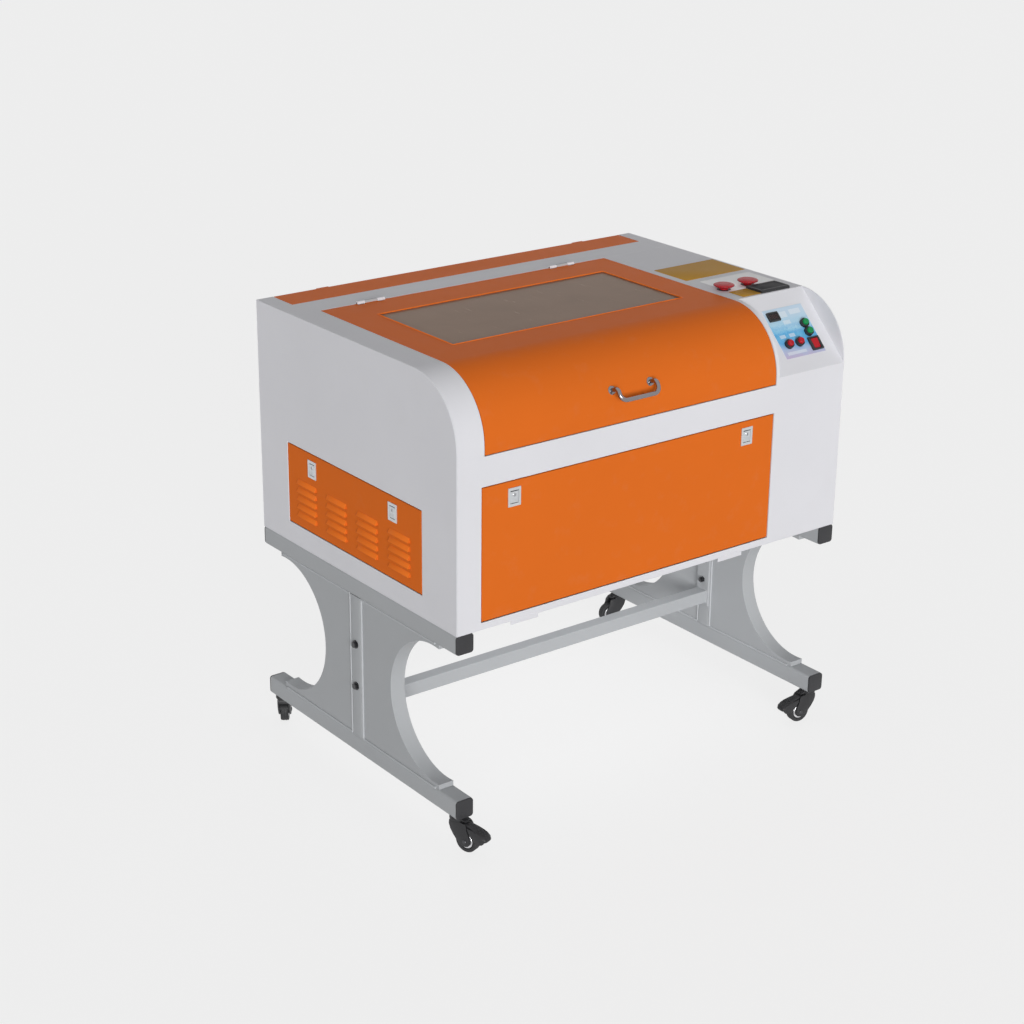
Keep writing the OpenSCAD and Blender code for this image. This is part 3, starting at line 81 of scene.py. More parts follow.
# The handle of the lid: its middle, half its span and its angle up the curve in degrees
LID_MID = -0.0655
HANDLE_MID = LID_MID - 0.011
HANDLE_HALF = 0.0485
HANDLE_UP = 23.0

# Places on the back, as x and z
EXHAUST = (LID_MID, 0.660)
INLET = (0.390, 0.530)

# Places on the flat control panel: to the right, and up from its middle
BUTTONS = {
    "start_button": (0.448, 0.010),
    "pause_button": (0.448, -0.011),
    "red_button_left": (0.380, -0.0295),
    "red_button_right": (0.410, -0.0295),
}
DISPLAY = (0.378, 0.0385)
FILM_LEFT, FILM_WIDTH = 0.357, 0.111
FILM_LOW, FILM_HEIGHT = -0.0605, 0.117

# Plain pale fields on the control film: left, right, low and high as shares of its width and height
FILM_FIELDS = (
    (0.36, 0.54, 0.80, 0.92),
    (0.36, 0.54, 0.66, 0.74),
    (0.62, 0.90, 0.83, 0.93),
    (0.08, 0.56, 0.06, 0.12),
    (0.10, 0.24, 0.40, 0.47),
    (0.34, 0.48, 0.40, 0.47),
)

# On the right shoulder: the middles of the stop buttons and the meter, and the plain plates, each with its
# width, depth, middle and the number of plates under it
STOPS = {"emergency_stop": (0.343, -0.143), "laser_stop": (0.411, -0.143)}
METER = (0.426, -0.1895)
WHITE_PLATES = ((0.140, 0.105, 0.412, -0.1205, 0),)
AMBER_PLATES = ((0.170, 0.106, 0.408, 0.006, 0), (0.050, 0.046, 0.3595, -0.1900, 1))


def shade_of(colour, factor):
    """A colour made darker or lighter, as the four numbers a colour socket takes."""
    return tuple(min(1.0, part * factor) for part in colour[:3]) + (1.0,)


# Shader maths


class Wire:
    """A shader socket that takes part in Python expressions; each operator adds a Math node."""

    def __init__(self, tree, socket):
        self.tree = tree
        self.socket = socket

    def math(self, operation, *values):
        return self.tree.node("ShaderNodeMath", {"operation": operation}, dict(enumerate(values)))

    def __add__(self, other):
        return self.math("ADD", self, other)

    def __sub__(self, other):
        return self.math("SUBTRACT", self, other)

    def __rsub__(self, other):
        return self.math("SUBTRACT", other, self)

    def __mul__(self, other):
        return self.math("MULTIPLY", self, other)

    def __truediv__(self, other):
        return self.math("DIVIDE", self, other)

    def __gt__(self, other):
        return self.math("GREATER_THAN", self, other)

    def __lt__(self, other):
        return self.math("LESS_THAN", self, other)

    def __abs__(self):
        return self.math("ABSOLUTE", self)

    def held(self):
        """The value kept between 0 and 1."""
        return self.math("MINIMUM", self.math("MAXIMUM", self, 0.0), 1.0)


class Tree:
    """A node tree and the one way in which nodes are added to it."""

    def __init__(self, node_tree):
        self.nodes = node_tree.nodes
        self.links = node_tree.links

    def plug(self, socket, value):
        if isinstance(value, Wire):
            self.links.new(value.socket, socket)
        else:
            socket.default_value = value

    def node(self, kind, settings=None, inputs=None, out=0):
        node = self.nodes.new(kind)
        for key, value in (settings or {}).items():
            if key == "stops":
                ramp = node.color_ramp.elements
                while len(ramp) < len(value):
                    ramp.new(1.0)
                for element, (place, colour) in zip(ramp, value):
                    element.position = place
                    element.color = (*colour, 1.0)
            else:
                setattr(node, key, value)
        for key, value in (inputs or {}).items():
            self.plug(node.inputs[key], value)
        return Wire(self, node.outputs[out]) if len(node.outputs) else None

    def place(self):
        return self.node("ShaderNodeTexCoord", out="Object")

    def axes(self):
        """The object's own x, y and z as three values."""
        place = self.place()
        return [self.node("ShaderNodeSeparateXYZ", None, {0: place}, out) for out in range(3)]

    def noise(self, scale, detail=2.0, stretch=(1.0, 1.0, 1.0), roughness=0.5):
        scales = tuple(scale * part for part in stretch)
        place = self.node("ShaderNodeMapping", None, {"Vector": self.place(), "Scale": scales})
        inputs = {"Vector": place, "Scale": 1.0, "Detail": detail, "Roughness": roughness}
        return self.node("ShaderNodeTexNoise", None, inputs)

    def mix(self, factor, first, second):
        return self.node("ShaderNodeMix", {"data_type": "RGBA"}, {0: factor, 6: first, 7: second}, out=2)


class Finish(Tree):
    """A material with one Principled shader."""

    made = {}

    def __init__(self, name, **constants):
        self.material = bpy.data.materials.new(name)
        self.material.use_nodes = True
        super().__init__(self.material.node_tree)
        self.shader = self.nodes["Principled BSDF"]
        for key, value in constants.items():
            self.shader.inputs[key.replace("_", " ")].default_value = value
        Finish.made[name] = self

    def feed(self, socket, value):
        self.plug(self.shader.inputs[socket], value)

    def bump(self, height, distance, strength=1.0):
        inputs = {"Height": height, "Distance": distance, "Strength": strength}
        self.feed("Normal", self.node("ShaderNodeBump", None, inputs))


def powder_coat(name, colour, roughness, peel, shine=0.02):
    """Baked paint on sheet steel: orange peel, a faint cloudiness and a rougher, greyer haze in patches."""
    finish = Finish(name, Specular_IOR_Level=shine)
    cloud = finish.noise(4.0, 3.0)
    haze = finish.noise(26.0, 5.0, roughness=0.62)
    tone = finish.mix(cloud, shade_of(colour, 0.955), shade_of(colour, 1.035))
    dust = ((haze - 0.56) * 3.0).held() * 0.05
    finish.feed("Base Color", finish.mix(dust, tone, (0.56, 0.54, 0.52, 1.0)))
    finish.feed("Roughness", (haze - 0.5) * 0.16 + roughness)
    fine = finish.noise(620.0, 2.0)
    finish.bump(fine + finish.noise(1900.0, 1.0) * 0.35, 0.0003 * peel, 0.22)


def moulded(name, colour, roughness, grain=1100.0, depth=0.0002, coat=0.0):
    """Injection moulded plastic or rubber with a fine spark-eroded grain and handling marks."""
    finish = Finish(name, Coat_Roughness=0.15, Specular_IOR_Level=0.42)
    wear = finish.noise(55.0, 4.0, roughness=0.6)
    finish.feed("Base Color", finish.mix(wear, shade_of(colour, 0.86), shade_of(colour, 1.14)))
    finish.feed("Roughness", (wear - 0.5) * 0.2 + roughness)
    if coat:
        finish.feed("Coat Weight", coat - (wear - 0.5) * 0.3)
    finish.bump(finish.noise(grain, 2.0), depth, 0.25)


def plated(name, colour, roughness, smear=0.1, metallic=1.0):
    """Bright plating or polished metal with faint wipe marks."""
    finish = Finish(name, Metallic=metallic)
    wipe = finish.noise(30.0, 4.0, stretch=(1.0, 3.5, 1.0))
    finish.feed("Base Color", finish.mix(wipe, shade_of(colour, 0.93), shade_of(colour, 1.05)))
    finish.feed("Roughness", (wipe - 0.5) * smear + roughness)
    finish.bump(finish.noise(240.0, 2.0), 0.0001, 0.12)


def brushed(name, colour, roughness):
    """Drawn or ground metal with fine lines along X."""
    finish = Finish(name, Metallic=0.9)
    lines = finish.noise(1500.0, 3.0, stretch=(0.03, 1.0, 1.0))
    stain = finish.noise(18.0, 4.0)
    tone = finish.mix(stain, shade_of(colour, 0.86), shade_of(colour, 1.08))
    finish.feed("Base Color", finish.mix(lines * 0.3, tone, shade_of(colour, 0.72)))
    finish.feed("Roughness", (lines - 0.5) * 0.25 + roughness)
    finish.bump(lines, 0.0001, 0.2)


def smoked_acrylic(name, colour, clear):
    """Tinted sheet with a few scuffs: it shows what lies under it through its alpha."""
    finish = Finish(name, Specular_IOR_Level=0.05)
    cloud = finish.noise(7.0, 4.0)
    scuff = finish.noise(90.0, 6.0, stretch=(1.0, 0.12, 1.0), roughness=0.68)
    mark = ((scuff - 0.6) * 6.0).held()
    finish.feed("Base Color", finish.mix(cloud, shade_of(colour, 0.88), shade_of(colour, 1.1)))
    finish.feed("Roughness", mark * 0.3 + 0.14)
    finish.feed("Alpha", mark * 0.12 + (cloud - 0.5) * 0.06 + (1.0 - clear))


def clear_glass(name, colour, alpha):
    """Blown glass: mostly see-through, denser where it is cloudy."""
    finish = Finish(name, Specular_IOR_Level=0.7, Coat_Weight=0.5, Coat_Roughness=0.02)
    cloud = finish.noise(14.0, 3.0)
    finish.feed("Base Color", finish.mix(cloud, shade_of(colour, 0.92), shade_of(colour, 1.06)))
    finish.feed("Roughness", cloud * 0.1 + 0.03)
    finish.feed("Alpha", (cloud - 0.5) * 0.12 + alpha)


def panel_film(name):
    """Pale blue film: a fade from top to bottom, soft wave bands and plain pale fields."""
    finish = Finish(name, Coat_Roughness=0.12, Specular_IOR_Level=0.5)
    x, y, z = finish.axes()
    across = (x - FILM_LEFT) / FILM_WIDTH
    climb = (y + z - (PANEL_Y + PANEL_Z)) * math.sqrt(0.5)
    height = (climb - FILM_LOW) / FILM_HEIGHT
    drift = finish.noise(34.0, 2.0)
    level = height + (drift - 0.5) * 0.22 + across * 0.08
    stops = [
        (0.02, (0.54, 0.46, 0.66)),
        (0.16, (0.46, 0.56, 0.78)),
        (0.30, (0.12, 0.44, 0.78)),
        (0.50, (0.14, 0.52, 0.82)),
        (0.66, (0.42, 0.70, 0.88)),
        (0.95, (0.55, 0.70, 0.84)),
    ]
    fade = finish.node("ShaderNodeValToRGB", {"stops": stops}, {0: level.held()})
    wave = finish.node(
        "ShaderNodeTexWave",
        {"bands_direction": "Z", "wave_profile": "SIN"},
        {"Vector": finish.place(), "Scale": 26.0, "Distortion": 5.0, "Detail": 2.0, "Detail Scale": 9.0},
        out="Fac",
    )
    band = (1.0 - abs(height - 0.48) * 3.4).held() * wave * 0.6
    tone = finish.mix(band, fade, (0.05, 0.36, 0.74, 1.0))
    field = 0.0
    for left, right, low, high in FILM_FIELDS:
        field = (across > left) * (across < right) * (height > low) * (height < high) + field
    tone = finish.mix(field.held() * 0.55, tone, (0.80, 0.86, 0.92, 1.0))
    finish.feed("Base Color", tone)
    finish.feed("Roughness", drift * 0.12 + 0.26)
    finish.feed("Coat Weight", 0.4 - drift * 0.2)
    finish.bump(finish.noise(900.0, 2.0), 0.0001, 0.15)


def toothed_rubber(name):
    """Black belt with its teeth as close cross lines."""
    finish = Finish(name, Specular_IOR_Level=0.3)
    x, y, _ = finish.axes()
    teeth = finish.node("ShaderNodeMath", {"operation": "SINE"}, {0: (x + y) * (2 * math.pi / 0.003)})
    wear = finish.noise(120.0, 3.0)
    finish.feed("Base Color", finish.mix(wear, (0.012, 0.012, 0.013, 1.0), (0.035, 0.035, 0.036, 1.0)))
    finish.feed("Roughness", wear * 0.2 + 0.55)
    finish.bump(teeth, 0.0006, 0.8)


def turned_metal(name, colour):
    """Bright nickel with the fine marks of turning."""
    finish = Finish(name, Metallic=0.85)
    lines = finish.noise(700.0, 2.0)
    finish.feed("Base Color", finish.mix(lines, shade_of(colour, 0.85), shade_of(colour, 1.08)))
    finish.feed("Roughness", lines * 0.2 + 0.24)
    finish.bump(lines, 0.0001, 0.2)


# Forms


def rounded(form, edges, radius, segments=2):
    """Rounds some edges of a form."""
    bmesh.ops.bevel(
        form, geom=list(edges), offset=radius, offset_type="OFFSET", affect="EDGES",
        segments=segments, profile=0.5, material=-1, clamp_overlap=True,
    )


def block(width, depth, height, edge=0.0, segments=2):
    """Box about the origin with rounded edges."""
    form = bmesh.new()
    bmesh.ops.create_cube(form, size=1.0)
    bmesh.ops.scale(form, vec=(width, depth, height), verts=form.verts)
    if edge:
        rounded(form, form.edges, edge, segments)
    return form


def plate(width, depth, thick, corner, edge=0.0):
    """Plate on the XY plane with rounded corners and, on its upper face, a softened rim."""
    form = block(width, depth, thick)
    upright = [e for e in form.edges if abs(e.verts[0].co.z - e.verts[1].co.z) > thick / 2]
    rounded(form, upright, corner, 5)
    if edge:
        rim = [e for e in form.edges if min(v.co.z for v in e.verts) > thick / 2 - 1e-6]
        rounded(form, rim, edge, 2)
    bmesh.ops.translate(form, vec=(0, 0, thick / 2), verts=form.verts)
    return form


def border(width, depth, thick, band, corner):
    """Flat picture frame on the XY plane, band wide all round."""
    form = bmesh.new()
    bmesh.ops.create_grid(form, x_segments=1, y_segments=1, size=0.5)
    bmesh.ops.scale(form, vec=(width, depth, 1), verts=form.verts)
    bmesh.ops.bevel(
        form, geom=form.verts[:], offset=corner, offset_type="OFFSET", affect="VERTICES",
        segments=4, profile=0.5, material=-1,
    )
    inner = form.faces[:]
    bmesh.ops.inset_region(form, faces=inner, thickness=band, use_boundary=True, use_even_offset=True)
    bmesh.ops.delete(form, geom=inner, context="FACES")
    raised = bmesh.ops.extrude_face_region(form, geom=form.faces[:])["geom"]
    lifted = [v for v in raised if isinstance(v, bmesh.types.BMVert)]
    bmesh.ops.translate(form, vec=(0, 0, thick), verts=lifted)
    return form


def turned(profile, steps=32):
    """Body of revolution: (radius, height) points spun round Z."""
    form = bmesh.new()
    points = [form.verts.new((radius, 0, height)) for radius, height in profile]
    for first, second in zip(points, points[1:]):
        form.edges.new((first, second))
    bmesh.ops.spin(
        form, geom=form.verts[:] + form.edges[:], cent=(0, 0, 0), axis=(0, 0, 1), dvec=(0, 0, 0),
        angle=2 * math.pi, steps=steps, use_merge=True, use_normal_flip=False, use_duplicate=False,
    )
    bmesh.ops.remove_doubles(form, verts=form.verts, dist=1e-7)
    bmesh.ops.dissolve_degenerate(form, dist=1e-7, edges=form.edges)
    return form


def rod(radius, length, steps=12):
    """Round bar that stands on the XY plane, with its two rims eased."""
    edge = radius * 0.12
    rim = [(radius - edge, 0), (radius, edge), (radius, length - edge), (radius - edge, length)]
    return turned([(0, 0), *rim, (0, length)], steps)


def hoop(radius, wire, steps=40, sides=8):
    """Round ring of wire about Z."""
    turns = [2 * math.pi * index / sides for index in range(sides + 1)]
    return turned([(radius + wire * math.cos(turn), wire * math.sin(turn)) for turn in turns], steps)


def outline(points, thick, edge=0.0, segments=2):
    """Flat outline on the XZ plane, made thick along Y about the middle."""
    form = bmesh.new()
    face = form.faces.new([form.verts.new((u, -thick / 2, w)) for u, w in points])
    far = bmesh.ops.extrude_face_region(form, geom=[face])["geom"]
    moved = [v for v in far if isinstance(v, bmesh.types.BMVert)]
    bmesh.ops.translate(form, vec=(0, thick, 0), verts=moved)
    bmesh.ops.recalc_face_normals(form, faces=form.faces)
    if edge:
        rounded(form, form.edges, edge, segments)
    return form


def screw_head(radius):
    """Pan head with a cross recess, standing on the XY plane."""
    height = radius * 0.55
    dome = [(radius, height * 0.35), (radius * 0.86, height * 0.78), (radius * 0.5, height)]
    form = turned([(0, 0), (radius, 0), *dome, (0, height)], 16)
    for turn in (0, math.pi / 2):
        slot = block(radius * 1.05, radius * 0.2, height * 0.3)
        bmesh.ops.transform(
            slot, verts=slot.verts,
            matrix=Matrix.Translation((0, 0, height * 0.93)) @ Matrix.Rotation(turn, 4, "Z"),
        )
        form = joined(form, slot)
    return form


def joined(first, second):
    """Two forms in one bmesh."""
    for form in (first, second):
        bmesh.ops.recalc_face_normals(form, faces=form.faces)
    mesh = bpy.data.meshes.new("form")
    second.to_mesh(mesh)
    second.free()
    first.from_mesh(mesh)
    bpy.data.meshes.remove(mesh)
    return first


def aim(origin, direction, turn=0.0):
    """Place whose Z points along a direction, turned about it."""
    quaternion = Vector(direction).to_track_quat("Z", "Y")
    return Matrix.Translation(origin) @ quaternion.to_matrix().to_4x4() @ Matrix.Rotation(turn, 4, "Z")


def at(x, y, z):
    """Place with the axes of the frame."""
    return Matrix.Translation((x, y, z))


def framed(origin, *axes):
    """Place with its own X, Y and Z axes."""
    matrix = Matrix([[axis[row] for axis in axes] for row in range(3)]).to_4x4()
    matrix.translation = origin
    return matrix


def on_curve(x, angle):
    """Place on the rounded front edge: X stays, Y climbs the curve and Z points out of it."""
    a = math.radians(angle)
    out = Vector((0, -math.cos(a), math.sin(a)))
    up = Vector((0, math.sin(a), math.cos(a)))
    return framed(Vector((x, CURVE_Y, CURVE_Z)) + out * CURVE_R, Vector((1, 0, 0)), up, out)


def on_panel(spot, lift=0.0):
    """Place on the flat control panel: Y climbs it and Z points out of it."""
    x, up = spot
    return at(x, PANEL_Y, PANEL_Z) @ Matrix.Rotation(math.pi / 4, 4, "X") @ at(0, up, lift)


def skinned(form, rings):
    """Skin over rings of vertices, with a face on each end."""
    loops = [list(dict.fromkeys(edge for vert in ring for edge in vert.link_edges)) for ring in rings]
    for first, second in zip(loops, loops[1:]):
        bmesh.ops.bridge_loops(form, edges=first + second)
    for loop in (loops[0], loops[-1]):
        bmesh.ops.contextual_create(form, geom=loop)
    bmesh.ops.recalc_face_normals(form, faces=form.faces)
    return form


def bent_rod(path, radius, bends, sides=16, steps=8):
    """Round rod along a path of straight runs, with a bend of its own radius at each corner."""
    points = [Vector(point) for point in path]
    line = [points[0]]
    for before, corner, after, bend in zip(points, points[1:], points[2:], bends):
        back, on = (before - corner).normalized(), (after - corner).normalized()
        half = back.angle(on) / 2
        centre = corner + (back + on).normalized() * bend / math.sin(half)
        first = corner + back * bend / math.tan(half) - centre
        axis = first.cross(corner + on * bend / math.tan(half) - centre)
        sweep = math.pi - 2 * half
        for step in range(steps + 1):
            line.append(centre + Matrix.Rotation(sweep * step / steps, 3, axis) @ first)
    line.append(points[-1])
    form = bmesh.new()
    rings = []
    upright = (line[1] - line[0]).to_track_quat("Z", "Y")
    for index, spot in enumerate(line):
        heading = line[min(index + 1, len(line) - 1)] - line[max(index - 1, 0)]
        upright = (upright @ Vector((0, 0, 1))).rotation_difference(heading) @ upright
        ring = bmesh.ops.create_circle(form, segments=sides, radius=radius)["verts"]
        bmesh.ops.transform(form, verts=ring, matrix=Matrix.Translation(spot) @ upright.to_matrix().to_4x4())
        rings.append(ring)
    return skinned(form, rings)


def lofted(sections, sides=20, square=3.0):
    """Body through upright sections along X: (along, low, high, half width), each a rounded square."""
    form = bmesh.new()
    rings = []
    for along, low, high, half in sections:
        ring = bmesh.ops.create_circle(form, segments=sides, radius=1.0)["verts"]
        for vert in ring:
            wide, tall = [math.copysign(abs(part) ** (2 / square), part) for part in vert.co.xy]
            vert.co = (along, wide * half, (low + high) / 2 + tall * (high - low) / 2)
        rings.append(ring)
    return skinned(form, rings)


class Shape:
    """Collects finished forms into one piece."""

    def __init__(self):
        self.bm = bmesh.new()

    def add(self, form, place=None):
        if place is not None:
            bmesh.ops.transform(form, matrix=place, verts=form.verts)
        bmesh.ops.remove_doubles(form, verts=form.verts, dist=1e-7)
        joined(self.bm, form)
        return self

    def piece(self, name, finish, body, slot, replaces=(), sharp=32.0):
        mesh = bpy.data.meshes.new(name)
        self.bm.to_mesh(mesh)
        self.bm.free()
        mesh.materials.append(Finish.made[finish].material)
        mesh.shade_smooth()
        mesh.set_sharp_from_angle(angle=math.radians(sharp))
        piece = bpy.data.objects.new(name, mesh)
        bpy.context.scene.collection.objects.link(piece)
        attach(piece, body)
        if replaces:
            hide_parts(*replaces)
        return piece


def coat(finish, *nodes):
    """Gives CAD nodes a finish."""
    for node in nodes:
        slots = NODES[node].data.materials
        slots.clear()
        slots.append(Finish.made[finish].material)


def soften(radius, *nodes, segments=2):
    """Rounds the folded and cut edges of CAD nodes with modifiers."""
    for node in nodes:
        piece = NODES[node]
        normals = piece.data.attributes.get("custom_normal")
        if normals:
            piece.data.attributes.remove(normals)
        piece.data.shade_smooth()
        piece.modifiers.new("weld", "WELD").merge_threshold = 1e-5
        edges = piece.modifiers.new("edges", "BEVEL")
        edges.width = radius
        edges.segments = segments
        edges.limit_method = "ANGLE"
        edges.angle_limit = math.radians(30)
        edges.use_clamp_overlap = False
        edges.loop_slide = False
        shading = piece.modifiers.new("shading", "WEIGHTED_NORMAL")
        shading.keep_sharp = True


# Settings


def colour_value(name, default, description):
    return FloatVectorProperty(
        name=name, description=description, default=default, subtype="COLOR", size=3, min=0.0, max=1.0
    )


def length_value(name, default, description):
    return FloatProperty(name=name, description=description, default=default, unit="LENGTH", min=0.0)


class EngraverPaint(PropertyGroup):
    """Colours and surface of the paints, plastics and metals."""

    cabinet: colour_value("Cabinet", (0.79, 0.79, 0.825), "Powder coat of the cabinet")
    accent: colour_value("Accent", (0.78, 0.165, 0.02), "Powder coat of the lid, the doors and the cover")
    stand: colour_value("Stand", (0.47, 0.485, 0.50), "Powder coat of the stand")
    chamber: colour_value("Chamber", (0.58, 0.58, 0.59), "Powder coat inside the chamber")
    window: colour_value("Window", (0.44, 0.29, 0.20), "Tint of the window")
    black: colour_value("Black plastic", (0.022, 0.022, 0.024), "Moulded black plastic")
    green: colour_value("Green caps", (0.01, 0.28, 0.08), "Caps of the two green buttons")
    red: colour_value("Red caps", (0.50, 0.012, 0.02), "Caps of the red buttons and the stop buttons")
    amber: colour_value("Amber plates", (0.60, 0.32, 0.05), "Plain plates on the right shoulder")
    window_clear: FloatProperty(
        name="Window clearness", description="Share of light that the window lets through",
        default=0.30, min=0.0, max=1.0, subtype="FACTOR",
    )
    gloss: FloatProperty(
        name="Paint roughness", description="Roughness of the powder coat", default=0.40, min=0.0, max=1.0,
        subtype="FACTOR",
    )
    edge: length_value("Edge radius", 0.0007, "Rounding of folded sheet edges")


class EngraverFittings(PropertyGroup):
    """Sizes of the fittings that dress the solids."""

    louvre_length: length_value("Louvre length", 0.070, "Length of a louvre of the vent door")
    louvre_height: length_value("Louvre height", 0.010, "Height of a louvre")
    louvre_lip: length_value("Louvre lip", 0.0012, "Height of the edge along a louvre's mouth")
    louvre_reach: length_value("Louvre reach", 0.005, "Reach of a louvre from the door")
    louvre_low: length_value("Louvre start", 0.022, "First louvre above the lower edge of the door")
    louvre_pitch: length_value("Louvre pitch", 0.018, "Distance between louvre rows")
    louvre_step: length_value("Louvre step", 0.112, "Distance between louvre columns")
    hinge_inset: length_value("Hinge inset", 0.120, "Lid hinges in from the sides of the lid")
    barrel: length_value("Hinge barrel", 0.030, "Length of the lid's part of each hinge")
    screw: length_value("Screw head", 0.004, "Radius of the panel screws")
    film: length_value("Plate", 0.0006, "Thickness of the plain plates")
    tube_corner: length_value("Tube corner", 0.0055, "Corner radius of the square tubes")
    weld: length_value("Weld", 0.0023, "Radius of the weld beads on the stand")
    cell: length_value("Cell", 0.012, "Width of one cell of the bed")
    cell_wall: length_value("Cell wall", 0.0005, "Thickness of the bed's foil")
    wheel: length_value("Wheel", 0.025, "Radius of the caster wheels")
    wheel_width: length_value("Wheel width", 0.018, "Width of the caster wheels")
    treads: IntProperty(name="Tread grooves", description="Grooves round each wheel", default=3, min=1, max=6)


class EngraverStage(PropertyGroup):
    """Camera, floor and light."""

    camera: FloatVectorProperty(
        name="Camera", description="Place of the camera", default=(-2.6099, -3.2925, 2.1359),
        subtype="TRANSLATION", unit="LENGTH", size=3,
    )
    azimuth: FloatProperty(
        name="Azimuth", description="Turn of the camera about the upright", default=math.radians(-37.289),
        subtype="ANGLE",
    )
    elevation: FloatProperty(
        name="Elevation", description="Tilt of the camera", default=math.radians(21.291), subtype="ANGLE"
    )
    roll: FloatProperty(
        name="Roll", description="Roll of the camera", default=math.radians(0.562), subtype="ANGLE"
    )
    lens: FloatProperty(
        name="Lens", description="Focal length on a 36 mm sensor", default=73.89, unit="CAMERA"
    )
    floor: length_value("Floor", 80.0, "Half the side of the floor")
    key: FloatProperty(name="Key", description="Strength of the key light", default=2.68, min=0.0)
    fill: FloatProperty(name="Fill", description="Strength of the light from behind", default=0.70, min=0.0)
    low: FloatProperty(
        name="Low light", description="Power of the light under the cabinet", default=0.6, min=0.0
    )
    sky: FloatProperty(name="Sky", description="Level of the even light", default=0.28, min=0.0)
    backdrop: FloatProperty(name="Backdrop", description="Level of the backdrop", default=0.863, min=0.0)


def paint():
    return bpy.context.scene.engraver_paint


def fittings():
    return bpy.context.scene.engraver_fittings


# Pieces


class ENGRAVER_OT_finishes(Operator):
    """Make every paint, plastic, metal and glass"""

    bl_idname = "engraver.finishes"
    bl_label = "Finishes"

    def execute(self, context):
        p = paint()
        powder_coat("white_paint", p.cabinet, p.gloss, peel=1.0)
        powder_coat("orange_paint", p.accent, p.gloss - 0.04, peel=0.9)
        powder_coat("grey_paint", p.stand, p.gloss + 0.04, peel=1.2)
        powder_coat("chamber_paint", p.chamber, p.gloss + 0.1, peel=1.0)
        powder_coat("motor_paint", (0.03, 0.03, 0.033), 0.45, peel=1.0)
        moulded("black_plastic", p.black, 0.46)
        moulded("cap_plastic", (0.034, 0.034, 0.037), 0.55, grain=700.0, depth=0.0003)
        moulded("tyre", (0.028, 0.028, 0.03), 0.62, grain=500.0, depth=0.0003)
        powder_coat("green_plastic", p.green, 0.34, peel=0.2, shine=0.2)
        powder_coat("red_plastic", p.red, 0.34, peel=0.2, shine=0.2)
        # A darker red than the button caps: painted shade on the ribbed rims of the stop buttons.
        moulded("shaded_rim_plastic", (0.13, 0.008, 0.012), 0.35, coat=0.2)
        # A lighter copy of the accent orange: painted highlight on the louvre faces and round the window.
        powder_coat("highlight_orange_paint", shade_of(p.accent, 1.35), p.gloss, peel=0.9)
        # A lighter copy of the stand grey: painted highlight along the weld beads.
        powder_coat("weld_highlight_paint", shade_of(p.stand, 1.14), p.gloss, peel=1.2)
        powder_coat("white_film", (0.97, 0.97, 0.98), 0.3, peel=0.3, shine=0.5)
        powder_coat("amber_film", p.amber, 0.42, peel=0.3)
        # Dark chrome: its low colour is a painted reflection of dark surroundings on the handle and its rosettes.
        plated("chrome", (0.28, 0.26, 0.27), 0.14)
        plated("latch_plate", (0.66, 0.68, 0.70), 0.3, smear=0.2, metallic=0.65)
        plated("dark_steel", (0.09, 0.09, 0.095), 0.4, smear=0.2)
        plated("zinc", (0.55, 0.56, 0.58), 0.36, smear=0.2)
        plated("brass", (0.62, 0.42, 0.14), 0.3, smear=0.2)
        brushed("aluminium", (0.62, 0.63, 0.65), 0.36)
        brushed("bed_foil", (0.50, 0.51, 0.52), 0.42)
        brushed("bright_steel", (0.58, 0.59, 0.61), 0.26)
        turned_metal("hub_ring", (0.78, 0.78, 0.80))
        smoked_acrylic("window_acrylic", p.window, p.window_clear)
        powder_coat("display_glass", (0.030, 0.031, 0.034), 0.35, peel=0.1)
        moulded("segment", (0.075, 0.03, 0.03), 0.4)
        powder_coat("meter_face", (0.050, 0.050, 0.053), 0.5, peel=0.2)
        clear_glass("tube_glass", (0.75, 0.82, 0.85), 0.32)
        clear_glass("bore_glass", (0.80, 0.70, 0.85), 0.5)
        panel_film("overlay_film")
        toothed_rubber("belt_rubber")
        return {"FINISHED"}


